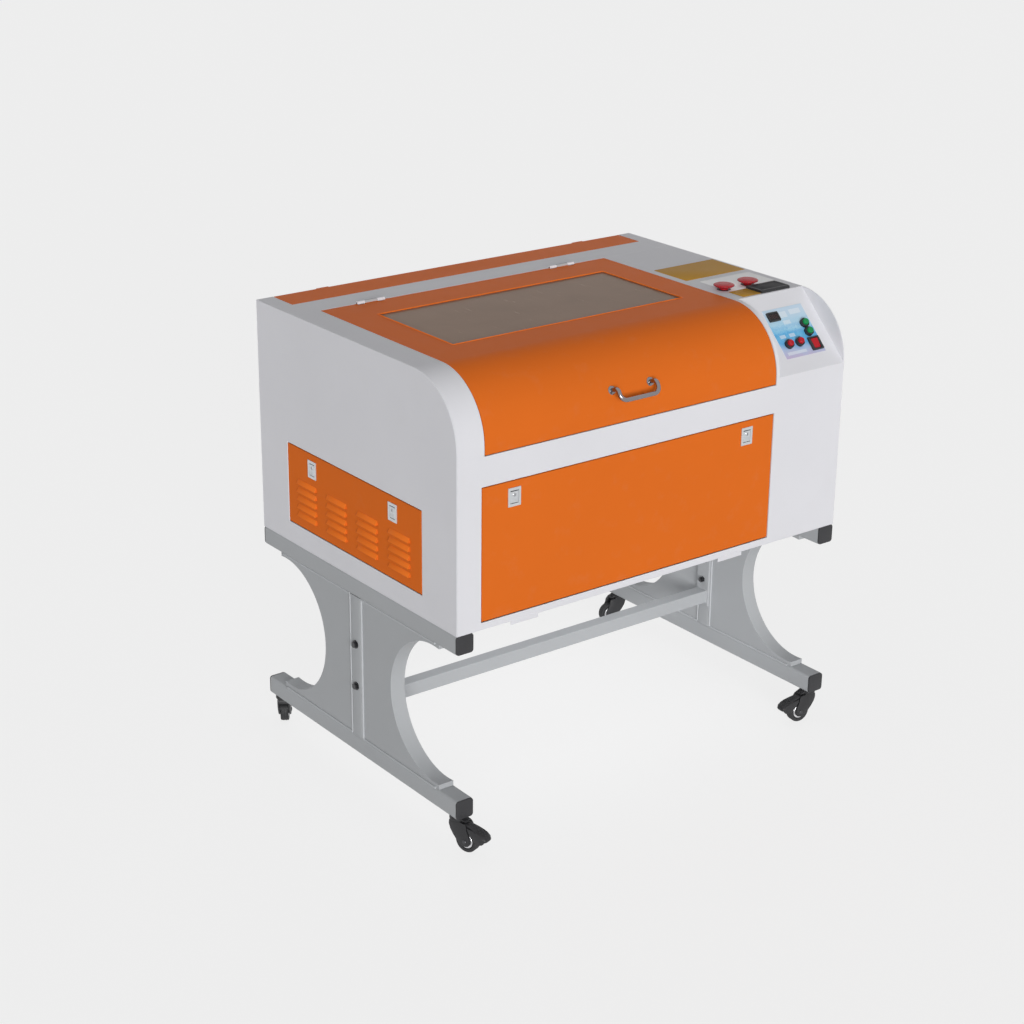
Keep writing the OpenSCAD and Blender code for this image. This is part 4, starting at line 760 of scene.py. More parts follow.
class ENGRAVER_OT_cabinet(Operator):
    """Paint the cabinet, the lid, the covers and the doors, and round their folds"""

    bl_idname = "engraver.cabinet"
    bl_label = "Cabinet"

    def execute(self, context):
        folded = ("left_side_panel", "right_side_panel", "back_panel", "base_pan")
        orange = ("lid_shell", "rear_cover", "front_door", "vent_door")
        coat("white_paint", "cabinet_skin", "control_fascia", *folded)
        coat("orange_paint", *orange)
        coat("chamber_paint", "chamber_walls")
        coat("window_acrylic", "lid_window")
        coat("dark_steel", "hinge_pins")
        soften(paint().edge, *folded, *orange, "chamber_walls")
        self.louvres()
        self.filler()
        self.barrels()
        return {"FINISHED"}

    def filler(self):
        """Painted filler in the joint under the control panel."""
        low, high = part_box("control_fascia")
        deep, tall = 0.0016, 0.0008
        inward, under = 0.00075, 0.0003
        place = at((low.x + high.x) / 2, low.y + inward, low.z - under)
        strip = Shape().add(block(high.x - low.x, deep, tall, edge=0.0001, segments=1), place)
        strip.piece("panel_filler", "white_paint", "cabinet", "white_paint")

    def barrels(self):
        """Painted sleeves on the lid's hinge barrels."""
        low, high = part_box("lid_shell")
        _, y, z = JOINTS["lid_hinge"]["pos_m"]
        size = fittings()
        radius = 0.0043
        sleeves = Shape()
        for x in (low.x + size.hinge_inset, high.x - size.hinge_inset):
            sleeves.add(rod(radius, size.barrel, 24), aim((x - size.barrel / 2, y, z), (1, 0, 0)))
        sleeves.piece("hinge_sleeves", "grey_paint", "lid", "grey_paint")

    def louvres(self):
        """Lighter orange sheets on the sloping faces of the louvres: a painted highlight where they catch the
        light.
        """
        low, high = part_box("vent_door")
        middle = (low.y + high.y) / 2
        size = fittings()
        reach, rise = size.louvre_reach, size.louvre_height - size.louvre_lip
        tilt = Matrix.Rotation(math.atan2(reach, rise), 4, "Y")
        thick, short, proud = 0.0006, 0.001, 0.0001
        columns, rows = 4, 5
        highlight_sheets = Shape()
        for column in range(columns):
            for row in range(rows):
                y = middle + (column - (columns - 1) / 2) * size.louvre_step
                z = low.z + size.louvre_low + row * size.louvre_pitch + size.louvre_lip + rise / 2
                sheet = block(thick, size.louvre_length - short, math.hypot(reach, rise), thick / 3)
                highlight_sheets.add(sheet, at(low.x + reach / 2 - proud, y, z) @ tilt)
        # Painted highlight: the louvre faces are a lighter orange than the door.
        highlight_sheets.piece("louvre_highlight_faces", "highlight_orange_paint", "vent_door", "orange_paint")


class ENGRAVER_OT_screws(Operator):
    """Set the screws of the back and the right side"""

    bl_idname = "engraver.screws"
    bl_label = "Panel screws"

    def execute(self, context):
        radius = fittings().screw
        heads = Shape()
        edge, inner = 0.478, 0.24
        foot, top = 0.492, 0.948
        back = [(x, z) for x in (-edge, -inner, inner, edge) for z in (foot, top)]
        back += [(x, z) for x in (-edge, edge) for z in (0.64, 0.80)]
        for x, z in back:
            heads.add(screw_head(radius), aim((x, BACK_Y, z), (0, 1, 0), x * 9))
        edge, middle, top = 0.333, 0.72, 0.95
        right = [(-edge, foot), (0.0, foot), (edge, foot), (0.0, top), (edge, top)]
        right += [(edge, middle), (-edge, middle)]
        for y, z in right:
            heads.add(screw_head(radius), aim((RIGHT_X, y, z), (1, 0, 0), y * 9))
        heads.piece("panel_screws", "zinc", "cabinet", "bright_steel")
        return {"FINISHED"}


class ENGRAVER_OT_stand(Operator):
    """Paint the stand and give it rounded tubes, end caps and weld beads"""

    bl_idname = "engraver.stand"
    bl_label = "Stand"

    def execute(self, context):
        coat("grey_paint", "stand_gussets", "cross_beam")
        coat("dark_steel", "beam_bolts")
        soften(0.0016, "cross_beam", segments=3)
        soften(0.0010, "stand_gussets")
        for name in ("stand_left_frame", "stand_right_frame"):
            self.frame(name)
        self.ends()
        self.welds()
        return {"FINISHED"}

    def frame(self, node):
        """Rounded square tubes: the foot, the top rail and the post between them."""
        low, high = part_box(node)
        side = high.x - low.x
        x, y = (low.x + high.x) / 2, (low.y + high.y) / 2
        corner, lap = fittings().tube_corner, 0.001
        lying = Matrix.Rotation(math.pi / 2, 4, "X")
        tubes = Shape()
        for z in (low.z + side / 2, high.z - side / 2):
            tubes.add(self.tube(side, high.y - low.y, corner), at(x, y, z) @ lying)
        post = self.tube(side, high.z - low.z - 2 * side + lap, corner)
        tubes.add(post, at(x, 0, (low.z + high.z) / 2))
        tubes.piece(f"{node}_tubes", "grey_paint", "cabinet", "grey_paint", [node])

    def ends(self):
        """Moulded caps on the tubes, a little domed."""
        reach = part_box("tube_end_caps")[1].y
        corner = fittings().tube_corner + 0.001
        caps = Shape()
        for node in ("stand_left_frame", "stand_right_frame"):
            low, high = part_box(node)
            side = high.x - low.x
            for end in SIDES:
                for z in (low.z + side / 2, high.z - side / 2):
                    place = aim(((low.x + high.x) / 2, end * high.y, z), (0, end, 0))
                    caps.add(plate(side, side, reach - high.y, corner, edge=0.0012), place)
        caps.piece("end_caps", "cap_plastic", "cabinet", "black_plastic", ["tube_end_caps"])

    def tube(self, side, length, corner):
        """Square tube along Z about the origin."""
        form = block(side, side, length)
        along = [e for e in form.edges if abs(e.verts[0].co.z - e.verts[1].co.z) > length / 2]
        rounded(form, along, corner, 5)
        return form

    def welds(self):
        """Beads round each gusset, on both faces, in a lighter grey that is a painted highlight."""
        radius = fittings().weld
        low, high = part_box("stand_gussets")
        left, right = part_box("stand_left_frame")
        post = right.x - left.x
        toe, inset = 0.012, 0.006
        reach = high.y - post / 2 - toe
        proud, sunk, short = 0.0012, 0.0004, 0.002
        outer, inner = high.x + proud, high.x - (post - inset) - proud
        beads = Shape()
        for side in SIDES:
            for face in (outer, inner):
                for end in SIDES:
                    y = end * (post / 2 + sunk)
                    upright = rod(radius, high.z - low.z - 2 * short, 10)
                    beads.add(upright, at(side * face, y, low.z + short))
                    for z in (low.z + sunk, high.z - sunk):
                        beads.add(rod(radius, reach, 10), aim((side * face, y, z), (0, end, 0)))
        # Painted highlight: the beads are a lighter grey than the stand.
        beads.piece("weld_beads", "weld_highlight_paint", "cabinet", "grey_paint")


def caster_place(swivel, roll):
    """Frame of a caster: X along its trail, Y along its axle and Z up, on the floor under its stem."""
    stem = Vector(JOINTS[swivel]["pos_m"])
    axle = Vector(JOINTS[roll]["pos_m"])
    trail = Vector((axle.x - stem.x, axle.y - stem.y, 0))
    turn = math.atan2(trail.y, trail.x)
    return at(stem.x, stem.y, 0) @ Matrix.Rotation(turn, 4, "Z"), trail.length


class ENGRAVER_OT_casters(Operator):
    """Build the hooded forks, the wheels and the brake pedals of the casters"""

    bl_idname = "engraver.casters"
    bl_label = "Casters"

    def execute(self, context):
        for corner in ("fl", "fr", "bl", "br"):
            place, trail = caster_place(f"caster_{corner}_swivel", f"wheel_{corner}_roll")
            self.fork(corner, place, trail)
            self.wheel(corner, place, trail)
            if f"caster_pedal_{corner}" in NODES:
                self.pedal(corner, place)
        return {"FINISHED"}

    def fork(self, corner, place, trail):
        """Hood: two cheeks, the guard behind the wheel, crown, brow and stem, with caps on the axle."""
        radius = fittings().wheel
        shell = Shape()
        cheek = [
            (-0.0122, 0.0650), (-0.0130, 0.0560), (-0.0096, 0.0455), (-0.0030, 0.0350), (0.0050, 0.0258),
            (0.0120, 0.0190), (0.0185, 0.0150), (0.0250, 0.0138), (0.0330, 0.0156), (0.0374, 0.0215),
            (0.0372, 0.0310), (0.0340, 0.0410), (0.0300, 0.0500), (0.0285, 0.0580), (0.0250, 0.0630),
            (0.0172, 0.0650),
        ]
        thick, out = 0.0040, 0.0118
        for side in SIDES:
            shell.add(outline(cheek, thick, edge=0.0012), place @ at(0, side * out, 0))
        inner, outer, guard_wide = radius + 0.0014, radius + 0.0034, 0.0200
        sweep = [math.radians(angle) for angle in range(100, 157, 8)]
        guard = [(trail + outer * math.cos(a), radius + outer * math.sin(a)) for a in sweep]
        guard += [(trail + inner * math.cos(a), radius + inner * math.sin(a)) for a in reversed(sweep)]
        shell.add(outline(guard, guard_wide), place)
        crown = [
            (-0.0130, 0.0550), (-0.0126, 0.0620), (-0.0100, 0.0675), (0.0120, 0.0675), (0.0165, 0.0620),
            (0.0170, 0.0550),
        ]
        crown_wide, brow_wide = 0.0265, 0.0190
        shell.add(outline(crown, crown_wide, edge=0.0020, segments=3), place)
        brow = [
            (-0.0040, 0.0740), (0.0120, 0.0740), (0.0158, 0.0716), (0.0202, 0.0690), (0.0250, 0.0674),
            (0.0262, 0.0662), (-0.0040, 0.0662),
        ]
        shell.add(outline(brow, brow_wide, edge=0.0008), place)
        stem = [
            (0.0, 0.0655), (0.0158, 0.0655), (0.0172, 0.0672), (0.0172, 0.0698), (0.0163, 0.0708),
            (0.0163, 0.0722), (0.0172, 0.0730), (0.0172, 0.0741), (0.0166, 0.0745), (0.0, 0.0745),
        ]
        shell.add(turned(stem, 36), place)
        shell.piece(
            f"caster_hood_{corner}", "black_plastic", f"caster_{corner}", "black_plastic",
            [f"caster_fork_{corner}"],
        )
        axle = Shape()
        cap = [(0, 0), (0.0046, 0), (0.0046, 0.0006), (0.0038, 0.0014), (0.0016, 0.0018), (0, 0.0018)]
        for side in SIDES:
            face = side * (out + thick / 2 + 0.0001)
            axle.add(turned(cap, 18), place @ aim((trail, face, radius), (0, side, 0)))
        axle.piece(f"axle_caps_{corner}", "dark_steel", f"caster_{corner}", "bright_steel")

    def wheel(self, corner, place, trail):
        """Grooved tyre on a dished hub, with a bright ring on each side."""
        radius, half = fittings().wheel, fittings().wheel_width / 2
        count = fittings().treads
        spread, deep, mouth, floor = 0.62, 0.0008, 0.0011, 0.0006
        groove = []
        for index in range(count):
            centre = half * spread * (2 * index / max(1, count - 1) - 1)
            groove += [
                (radius, centre - mouth), (radius - deep, centre - floor),
                (radius - deep, centre + floor), (radius, centre + mouth),
            ]
        profile = [
            (0.0045, -half + 0.0004), (0.0088, -half + 0.0004), (0.0098, -half + 0.0024),
            (0.0168, -half + 0.0024), (0.0178, -half + 0.0006), (0.0190, -half),
            (radius - 0.0022, -half), (radius - 0.0006, -half + 0.0012),
        ]
        mirror = [(r, -z) for r, z in reversed(profile)]
        closed = profile + groove + mirror + [profile[0]]
        hub = place @ aim((trail, 0, radius), (0, 1, 0))
        tyre = Shape().add(turned(closed, 56), hub)
        tread, node = f"wheel_tread_{corner}", f"caster_wheel_{corner}"
        tyre.piece(tread, "tyre", f"wheel_{corner}", "tyre_rubber", [node])
        rings, sunk = Shape(), 0.0026
        ring = [
            (0.0108, 0.0), (0.0108, 0.0016), (0.0116, 0.0022), (0.0148, 0.0022), (0.0156, 0.0016),
            (0.0156, 0.0), (0.0108, 0.0),
        ]
        for side in SIDES:
            rings.add(turned(ring, 40), hub @ aim((0, 0, side * (half - sunk)), (0, 0, side)))
        rings.piece(f"wheel_ring_{corner}", "hub_ring", f"wheel_{corner}", "bright_steel")

    def pedal(self, corner, place):
        """Thick, curved brake flap with a skirt on each side and ribs across its tread."""
        sections = [
            (0.0195, 0.0545, 0.0630, 0.0086),
            (0.0240, 0.0542, 0.0636, 0.0090),
            (0.0310, 0.0530, 0.0622, 0.0092),
            (0.0370, 0.0510, 0.0598, 0.0096),
            (0.0420, 0.0488, 0.0576, 0.0104),
            (0.0470, 0.0456, 0.0558, 0.0112),
            (0.0520, 0.0412, 0.0542, 0.0120),
            (0.0570, 0.0360, 0.0526, 0.0128),
            (0.0620, 0.0338, 0.0506, 0.0131),
            (0.0670, 0.0332, 0.0480, 0.0128),
            (0.0710, 0.0340, 0.0452, 0.0117),
            (0.0740, 0.0358, 0.0426, 0.0096),
            (0.0753, 0.0378, 0.0404, 0.0062),
        ]
        tread = sections[6:10]
        flap = Shape().add(lofted(sections), place)
        skirt = [
            (0.0302, 0.0570), (0.0326, 0.0500), (0.0382, 0.0410), (0.0424, 0.0350), (0.0480, 0.0312),
            (0.0540, 0.0288), (0.0605, 0.0280), (0.0670, 0.0306), (0.0716, 0.0352), (0.0704, 0.0432),
            (0.0640, 0.0484), (0.0560, 0.0518), (0.0470, 0.0540), (0.0390, 0.0556),
        ]
        thick, out, rib = 0.0026, 0.0120, 0.0012
        for side in SIDES:
            flap.add(outline(skirt, thick, edge=0.0010), place @ at(0, side * out, 0))
        for along, _, high, half in tread:
            flap.add(block(rib, half * 1.2, rib, rib / 3), place @ at(along, 0, high - 0.0001))
        flap.piece(
            f"brake_pedal_{corner}", "black_plastic", f"pedal_{corner}", "black_plastic",
            [f"caster_pedal_{corner}"], 50.0,
        )


class ENGRAVER_OT_lid(Operator):
    """Dress the lid: handle, rosettes, a lighter window trim that is a painted highlight, clamp strips and their
    screws
    """

    bl_idname = "engraver.lid"
    bl_label = "Lid"

    def execute(self, context):
        self.handle()
        self.window()
        return {"FINISHED"}

    def handle(self):
        """Bent bar, out from the lid, down and across, with a rosette on each end."""
        half, out = HANDLE_HALF, 0.020
        drop, reach = -0.02476, 0.02348
        path = [(-half, 0, 0), (-half, 0, out), (-half, drop, reach)]
        path += [(-x, y, z) for x, y, z in reversed(path)]
        radius, bends = 0.0045, (0.008, 0.014, 0.014, 0.008)
        bar = Shape().add(bent_rod(path, radius, bends), on_curve(HANDLE_MID, HANDLE_UP))
        bar.piece("handle_bar", "chrome", "lid", "chrome", ["lid_handle"], 40.0)
        disc = [(0, 0), (0.0088, 0), (0.0090, 0.0008), (0.0080, 0.0022), (0.0056, 0.0030), (0, 0.0030)]
        rosettes = Shape()
        for side in SIDES:
            rosettes.add(turned(disc, 28), on_curve(HANDLE_MID + side * half, HANDLE_UP))
        rosettes.piece("handle_rosettes", "chrome", "lid", "chrome")

    def window(self):
        """Lighter orange trim round the window, a painted highlight along its edge, and strips under it that are
        held by screws.
        """
        low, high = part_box("lid_window")
        centre = (low + high) / 2
        width, depth = high.x - low.x, high.y - low.y
        lap, band = 0.016, 0.003
        edging = border(width - lap, depth - lap, thick=0.0007, band=band, corner=band)
        trim = Shape().add(edging, at(centre.x, centre.y, TOP_Z))
        # Painted highlight: the trim's lighter orange stands for a light line along the window's edge.
        trim.piece("window_highlight_trim", "highlight_orange_paint", "lid", "orange_paint")
        strip, thick, edge = 0.012, 0.0015, 0.0004
        long_gap, short_gap = 0.004, 0.030
        across, along = (width - strip) / 2, (depth - strip) / 2
        below = low.z - 0.00078
        strips = Shape()
        for side in SIDES:
            long = block(width - long_gap, strip, thick, edge)
            short = block(strip, depth - short_gap, thick, edge)
            strips.add(long, at(centre.x, centre.y + side * along, below))
            strips.add(short, at(centre.x + side * across, centre.y, below))
        strips.piece("window_strips", "aluminium", "lid", "aluminium")
        radius, face, down = 0.0032, low.z - thick, (0, 0, -1)
        inset, gaps = 0.03, 5
        studs = Shape()
        for side in SIDES:
            for step in range(gaps + 1):
                x = low.x + inset + step * (width - 2 * inset) / gaps
                studs.add(screw_head(radius), aim((x, centre.y + side * along, face), down, step))
            for step in range(2):
                y = low.y + depth * (0.33 + 0.34 * step)
                studs.add(screw_head(radius), aim((centre.x + side * across, y, face), down, step))
        studs.piece("window_screws", "zinc", "lid", "bright_steel")


class ENGRAVER_OT_latches(Operator):
    """Dress the paddle latches: finger ribs, key barrels and their slots"""

    bl_idname = "engraver.latches"
    bl_label = "Latches"

    def execute(self, context):
        coat("latch_plate", "front_latch_bodies", "vent_latch_bodies")
        soften(0.0006, "front_latch_bodies", "vent_latch_bodies")
        for node, out in (
            ("front_latch_left", (0, -1, 0)), ("front_latch_right", (0, -1, 0)),
            ("vent_latch_front", (-1, 0, 0)), ("vent_latch_rear", (-1, 0, 0)),
        ):
            coat("latch_plate", node)
            soften(0.0006, node)
            self.dress(node, Vector(out))
        return {"FINISHED"}

    def dress(self, node, out):
        """Ribs across the lower half of a paddle, and a key barrel with its slot above them."""
        low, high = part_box(node)
        face = (low + high) / 2
        for axis in (0, 1):
            if out[axis]:
                face[axis] = low[axis]
        up = Vector((0, 0, 1))
        across = up.cross(out)
        body = BODY_OF[node]
        lowest, pitch, rib = -0.0085, 0.0026, 0.0012
        ribs = Shape()
        for step in range(3):
            place = framed(face + up * (lowest + pitch * step), across, up, out)
            ribs.add(block(width=0.015, depth=rib, height=rib, edge=rib / 3), place)
        ribs.piece(f"{node}_ribs", "latch_plate", body, "chrome")
        lock = [(0, 0), (0.0040, 0), (0.0040, 0.0004), (0.0034, 0.0009), (0, 0.0009)]
        key_up, key_out = 0.0048, 0.00095
        spot = face + up * key_up
        barrel = Shape().add(turned(lock, 24), framed(spot, across, up, out))
        barrel.piece(f"{node}_barrel", "zinc", body, "chrome")
        place = framed(spot + out * key_out, across, up, out)
        slot = Shape().add(block(width=0.0010, depth=0.0046, height=0.0004, edge=0.0001), place)
        slot.piece(f"{node}_slot", "dark_steel", body, "chrome")


class ENGRAVER_OT_shoulder(Operator):
    """Finish the control shoulder: film, plain plates, display and meter"""

    bl_idname = "engraver.shoulder"
    bl_label = "Control shoulder"

    def execute(self, context):
        coat("overlay_film", "control_overlay")
        coat("black_plastic", "panel_meters", "control_bezels")
        soften(0.0005, "panel_meters")
        self.plates("stop_plate", "white_film", WHITE_PLATES, corner=0.003)
        self.plates("amber_plates", "amber_film", AMBER_PLATES, corner=0.002)
        self.meter()
        self.display()
        return {"FINISHED"}

    def plates(self, name, finish, places, corner):
        """Plain, thin plates on the deck."""
        thick = fittings().film
        flat = Shape()
        for width, depth, x, y, under in places:
            flat.add(plate(width, depth, thick, corner, thick / 3), at(x, y, TOP_Z + under * thick))
        flat.piece(name, finish, "cabinet", "white_paint")

    def meter(self):
        """Rim and dark face of the meter."""
        case = 0.005
        face = at(*METER, TOP_Z + case)
        edging = border(width=0.080, depth=0.0455, thick=0.0010, band=0.004, corner=0.003)
        rim = Shape().add(edging, face)
        rim.piece("meter_rim", "black_plastic", "cabinet", "black_plastic")
        pane = plate(width=0.071, depth=0.040, thick=0.0006, corner=0.001, edge=0.0002)
        glass = Shape().add(pane, face)
        glass.piece("meter_glass", "meter_face", "cabinet", "black_plastic")

    def display(self):
        """Rim and dark glass of the display, with three unlit figures of seven bars each."""
        face = on_panel(DISPLAY, lift=0.003)
        edging = border(width=0.031, depth=0.021, thick=0.0012, band=0.0030, corner=0.0016)
        rim = Shape().add(edging, face)
        rim.piece("display_rim", "black_plastic", "cabinet", "black_plastic")
        pane = plate(width=0.0254, depth=0.0154, thick=0.0005, corner=0.0006, edge=0.0001)
        glass = Shape().add(pane, face)
        glass.piece("display_glass", "display_glass", "cabinet", "black_plastic")
        pitch, half, storey = 0.0078, 0.0025, 0.0044
        long, short = 0.0042, 0.0032
        wide, thick, lift = 0.0009, 0.0003, 0.0006
        bars = Shape()
        for digit in (-1, 0, 1):
            x = digit * pitch
            for level in (-storey, 0.0, storey):
                bars.add(block(long, wide, thick), face @ at(x, level, lift))
            for side in SIDES:
                for level in (-storey / 2, storey / 2):
                    bars.add(block(wide, short, thick), face @ at(x + side * half, level, lift))
        bars.piece("display_bars", "segment", "cabinet", "black_plastic")


class ENGRAVER_OT_buttons(Operator):
    """Turn the caps of the push buttons and the heads of the stop buttons"""

    bl_idname = "engraver.buttons"
    bl_label = "Buttons"

    def execute(self, context):
        soften(0.0005, "control_bezels")
        cap = [
            (0, -0.004), (0.0068, -0.004), (0.0068, 0.0114), (0.0064, 0.0124), (0.0056, 0.0130),
            (0.0046, 0.0129), (0.0030, 0.0125), (0, 0.0123),
        ]
        for name, spot in BUTTONS.items():
            finish = "red_plastic" if name.startswith("red") else "green_plastic"
            button = Shape().add(turned(cap, 32), on_panel(spot))
            button.piece(f"{name}_cap", finish, name, finish, [name])
        coat("red_plastic", "rocker_switch")
        soften(0.0005, "rocker_switch")
        head = [
            (0, -0.010), (0.0088, -0.010), (0.0088, 0.0), (0.0128, 0.0), (0.0160, 0.0014),
            (0.0190, 0.0030), (0.0212, 0.0044), (0.0220, 0.0053), (0.0220, 0.0061), (0.0214, 0.0070),
            (0.0196, 0.0078), (0.0160, 0.0084), (0.0130, 0.0087), (0.0125, 0.0082), (0.0119, 0.0082),
            (0.0114, 0.0088), (0.0060, 0.0091), (0, 0.0092),
        ]
        bezel, ribs = 0.004, 24
        rim, up = 0.0218, 0.0056
        for name, (x, y) in STOPS.items():
            base = at(x, y, TOP_Z + bezel)
            mushroom = Shape().add(turned(head, 48), base)
            mushroom.piece(f"{name}_head", "red_plastic", name, "red_plastic", [name])
            grip = Shape()
            for step in range(ribs):
                turn = Matrix.Rotation(2 * math.pi * step / ribs, 4, "Z")
                rib = block(width=0.0010, depth=0.0026, height=0.0022, edge=0.0004)
                grip.add(rib, base @ turn @ at(rim, 0, up))
            # Painted shade: the ribbed rim is a darker red than the head.
            grip.piece(f"{name}_grip", "shaded_rim_plastic", name, "red_plastic")
        return {"FINISHED"}


class ENGRAVER_OT_bed(Operator):
    """Lay the honeycomb bed and finish its frame"""

    bl_idname = "engraver.bed"
    bl_label = "Bed"

    def execute(self, context):
        coat("aluminium", "bed_frame")
        soften(0.0008, "bed_frame")
        low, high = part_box("honeycomb_bed")
        self.cells(low, high)
        self.rim(low, high)
        return {"FINISHED"}

    def cells(self, low, high):
        """Two ribbons of folded foil, each the mirror of the other, repeated in rows."""
        cell, wall = fittings().cell, fittings().cell_wall
        pitch = cell * 1.5
        rise = cell * math.sqrt(3) / 2
        repeats = int((high.x - low.x) / pitch / 2)
        rows = int((high.y - low.y) / (2 * rise)) - 1
        inset_x, inset_y, lift = 0.006, 0.004, 0.0005
        ribbons = Shape()
        for start, slope in ((0.0, 1), (rise, -1)):
            form = bmesh.new()
            points = []
            for step in range(repeats * 2):
                x = low.x + inset_x + step * pitch
                side = rise * 0.5 * (1 if step % 2 else -1) * slope
                y = low.y + inset_y + rise * 0.5 + start
                points += [(x, y + side), (x + cell, y + side)]
            line = [form.verts.new((x, y, low.z + lift)) for x, y in points]
            edges = [form.edges.new(pair) for pair in zip(line, line[1:])]
            raised = bmesh.ops.extrude_edge_only(form, edges=edges)["geom"]
            lifted = [v for v in raised if isinstance(v, bmesh.types.BMVert)]
            bmesh.ops.translate(form, vec=(0, 0, high.z - low.z - 2 * lift), verts=lifted)
            bmesh.ops.solidify(form, geom=form.faces[:], thickness=wall)
            ribbons.add(form)
        bed = ribbons.piece("honeycomb_cells", "bed_foil", "cabinet", "aluminium", ["honeycomb_bed"])
        spread = bed.modifiers.new("rows", "ARRAY")
        spread.use_relative_offset = False
        spread.use_constant_offset = True
        spread.constant_offset_displace = (0, 2 * rise, 0)
        spread.count = rows

    def rim(self, low, high):
        """Bars along the four edges of the bed."""
        size, middle = high - low, at(*(low + high) / 2)
        wide, tall, edge = 0.004, size.z - 0.0004, 0.0006
        across, along = (size.x - wide) / 2, (size.y - wide) / 2
        bars = Shape()
        for side in SIDES:
            bars.add(block(size.x, wide, tall, edge), middle @ at(0, side * along, 0))
            bars.add(block(wide, size.y - 2 * wide, tall, edge), middle @ at(side * across, 0, 0))
        bars.piece("honeycomb_rim", "aluminium", "cabinet", "aluminium")


class ENGRAVER_OT_motion(Operator):
    """Finish the rails, the belts, the gantry and the laser head"""

    bl_idname = "engraver.motion"
    bl_label = "Motion"

    def execute(self, context):
        coat("aluminium", "y_rails", "gantry_beam", "laser_head")
        coat("motor_paint", "y_motor", "x_drive")
        coat("belt_rubber", "y_belts")
        coat("bright_steel", "y_shaft", "x_motor_pulley")
        soften(0.0008, "gantry_beam", "laser_head", "y_rails", "y_motor")
        self.gantry()
        self.head()
        return {"FINISHED"}

    def gantry(self):
        """Steel strip that the head runs on, and the screws of the two carriages."""
        low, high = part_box("gantry_beam")
        y = (low.y + high.y) / 2
        ends, proud = 0.09, 0.0002
        strip = block(high.x - low.x - ends, depth=0.009, height=0.0012, edge=0.0004)
        guide = Shape().add(strip, at((low.x + high.x) / 2, y, high.z + proud))
        guide.piece("gantry_guide", "bright_steel", "gantry", "bright_steel")
        inset, half, carriage_top = 0.012, 0.022, 0.8803
        bolts = Shape()
        for x in (low.x + inset, high.x - inset):
            for side in SIDES:
                bolts.add(screw_head(radius=0.0035), aim((x, y + side * half, carriage_top), (0, 0, 1)))
        bolts.piece("gantry_screws", "zinc", "gantry", "bright_steel")

    def head(self):
        """Brass knobs that tilt the mirror, and grooved collars on the lens tube."""
        low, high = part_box("laser_head")
        x = (low.x + high.x) / 2
        lens_y, mirror_z = low.y + 0.017, high.z - 0.012
        knob = [(0, 0), (0.0036, 0), (0.0036, 0.0050), (0.0030, 0.0058), (0, 0.0058)]
        knobs = Shape()
        for dx, dz in ((-0.011, 0.0), (0.011, 0.0), (0.011, -0.022)):
            knobs.add(turned(knob, 18), aim((x + dx, low.y, mirror_z + dz), (0, -1, 0)))
        knobs.piece("mirror_knobs", "brass", "laser_head", "bright_steel")
        collar = [
            (0.0106, 0), (0.0114, 0.0005), (0.0114, 0.0022), (0.0111, 0.0028), (0.0114, 0.0034),
            (0.0114, 0.0051), (0.0106, 0.0056), (0.0106, 0),
        ]
        rings = Shape()
        for z in (low.z + 0.022, low.z + 0.036):
            rings.add(turned(collar, 32), at(x, lens_y, z))
        rings.piece("lens_collars", "bright_steel", "laser_head", "bright_steel")


class ENGRAVER_OT_laser(Operator):
    """Finish the laser tube, its holders and the electrics"""

    bl_idname = "engraver.laser"
    bl_label = "Laser"

    def execute(self, context):
        coat("tube_glass", "laser_tube")
        coat("black_plastic", "tube_holders")
        coat("zinc", "power_and_control")
        soften(0.0008, "tube_holders", "power_and_control")
        low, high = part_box("laser_tube")
        y, z = (low.y + high.y) / 2, (low.z + high.z) / 2
        inset, along = 0.06, (1, 0, 0)
        core = rod(radius=0.0062, length=high.x - low.x - 2 * inset, steps=20)
        bore = Shape().add(core, aim((low.x + inset, y, z), along))
        bore.piece("laser_bore", "bore_glass", "cabinet", "tube_glass")
        ends = Shape()
        for x in (low.x + 0.05, high.x - 0.075):
            ends.add(rod(radius=0.012, length=0.028, steps=24), aim((x, y, z), along))
        ends.piece("laser_electrodes", "zinc", "cabinet", "bright_steel")
        return {"FINISHED"}


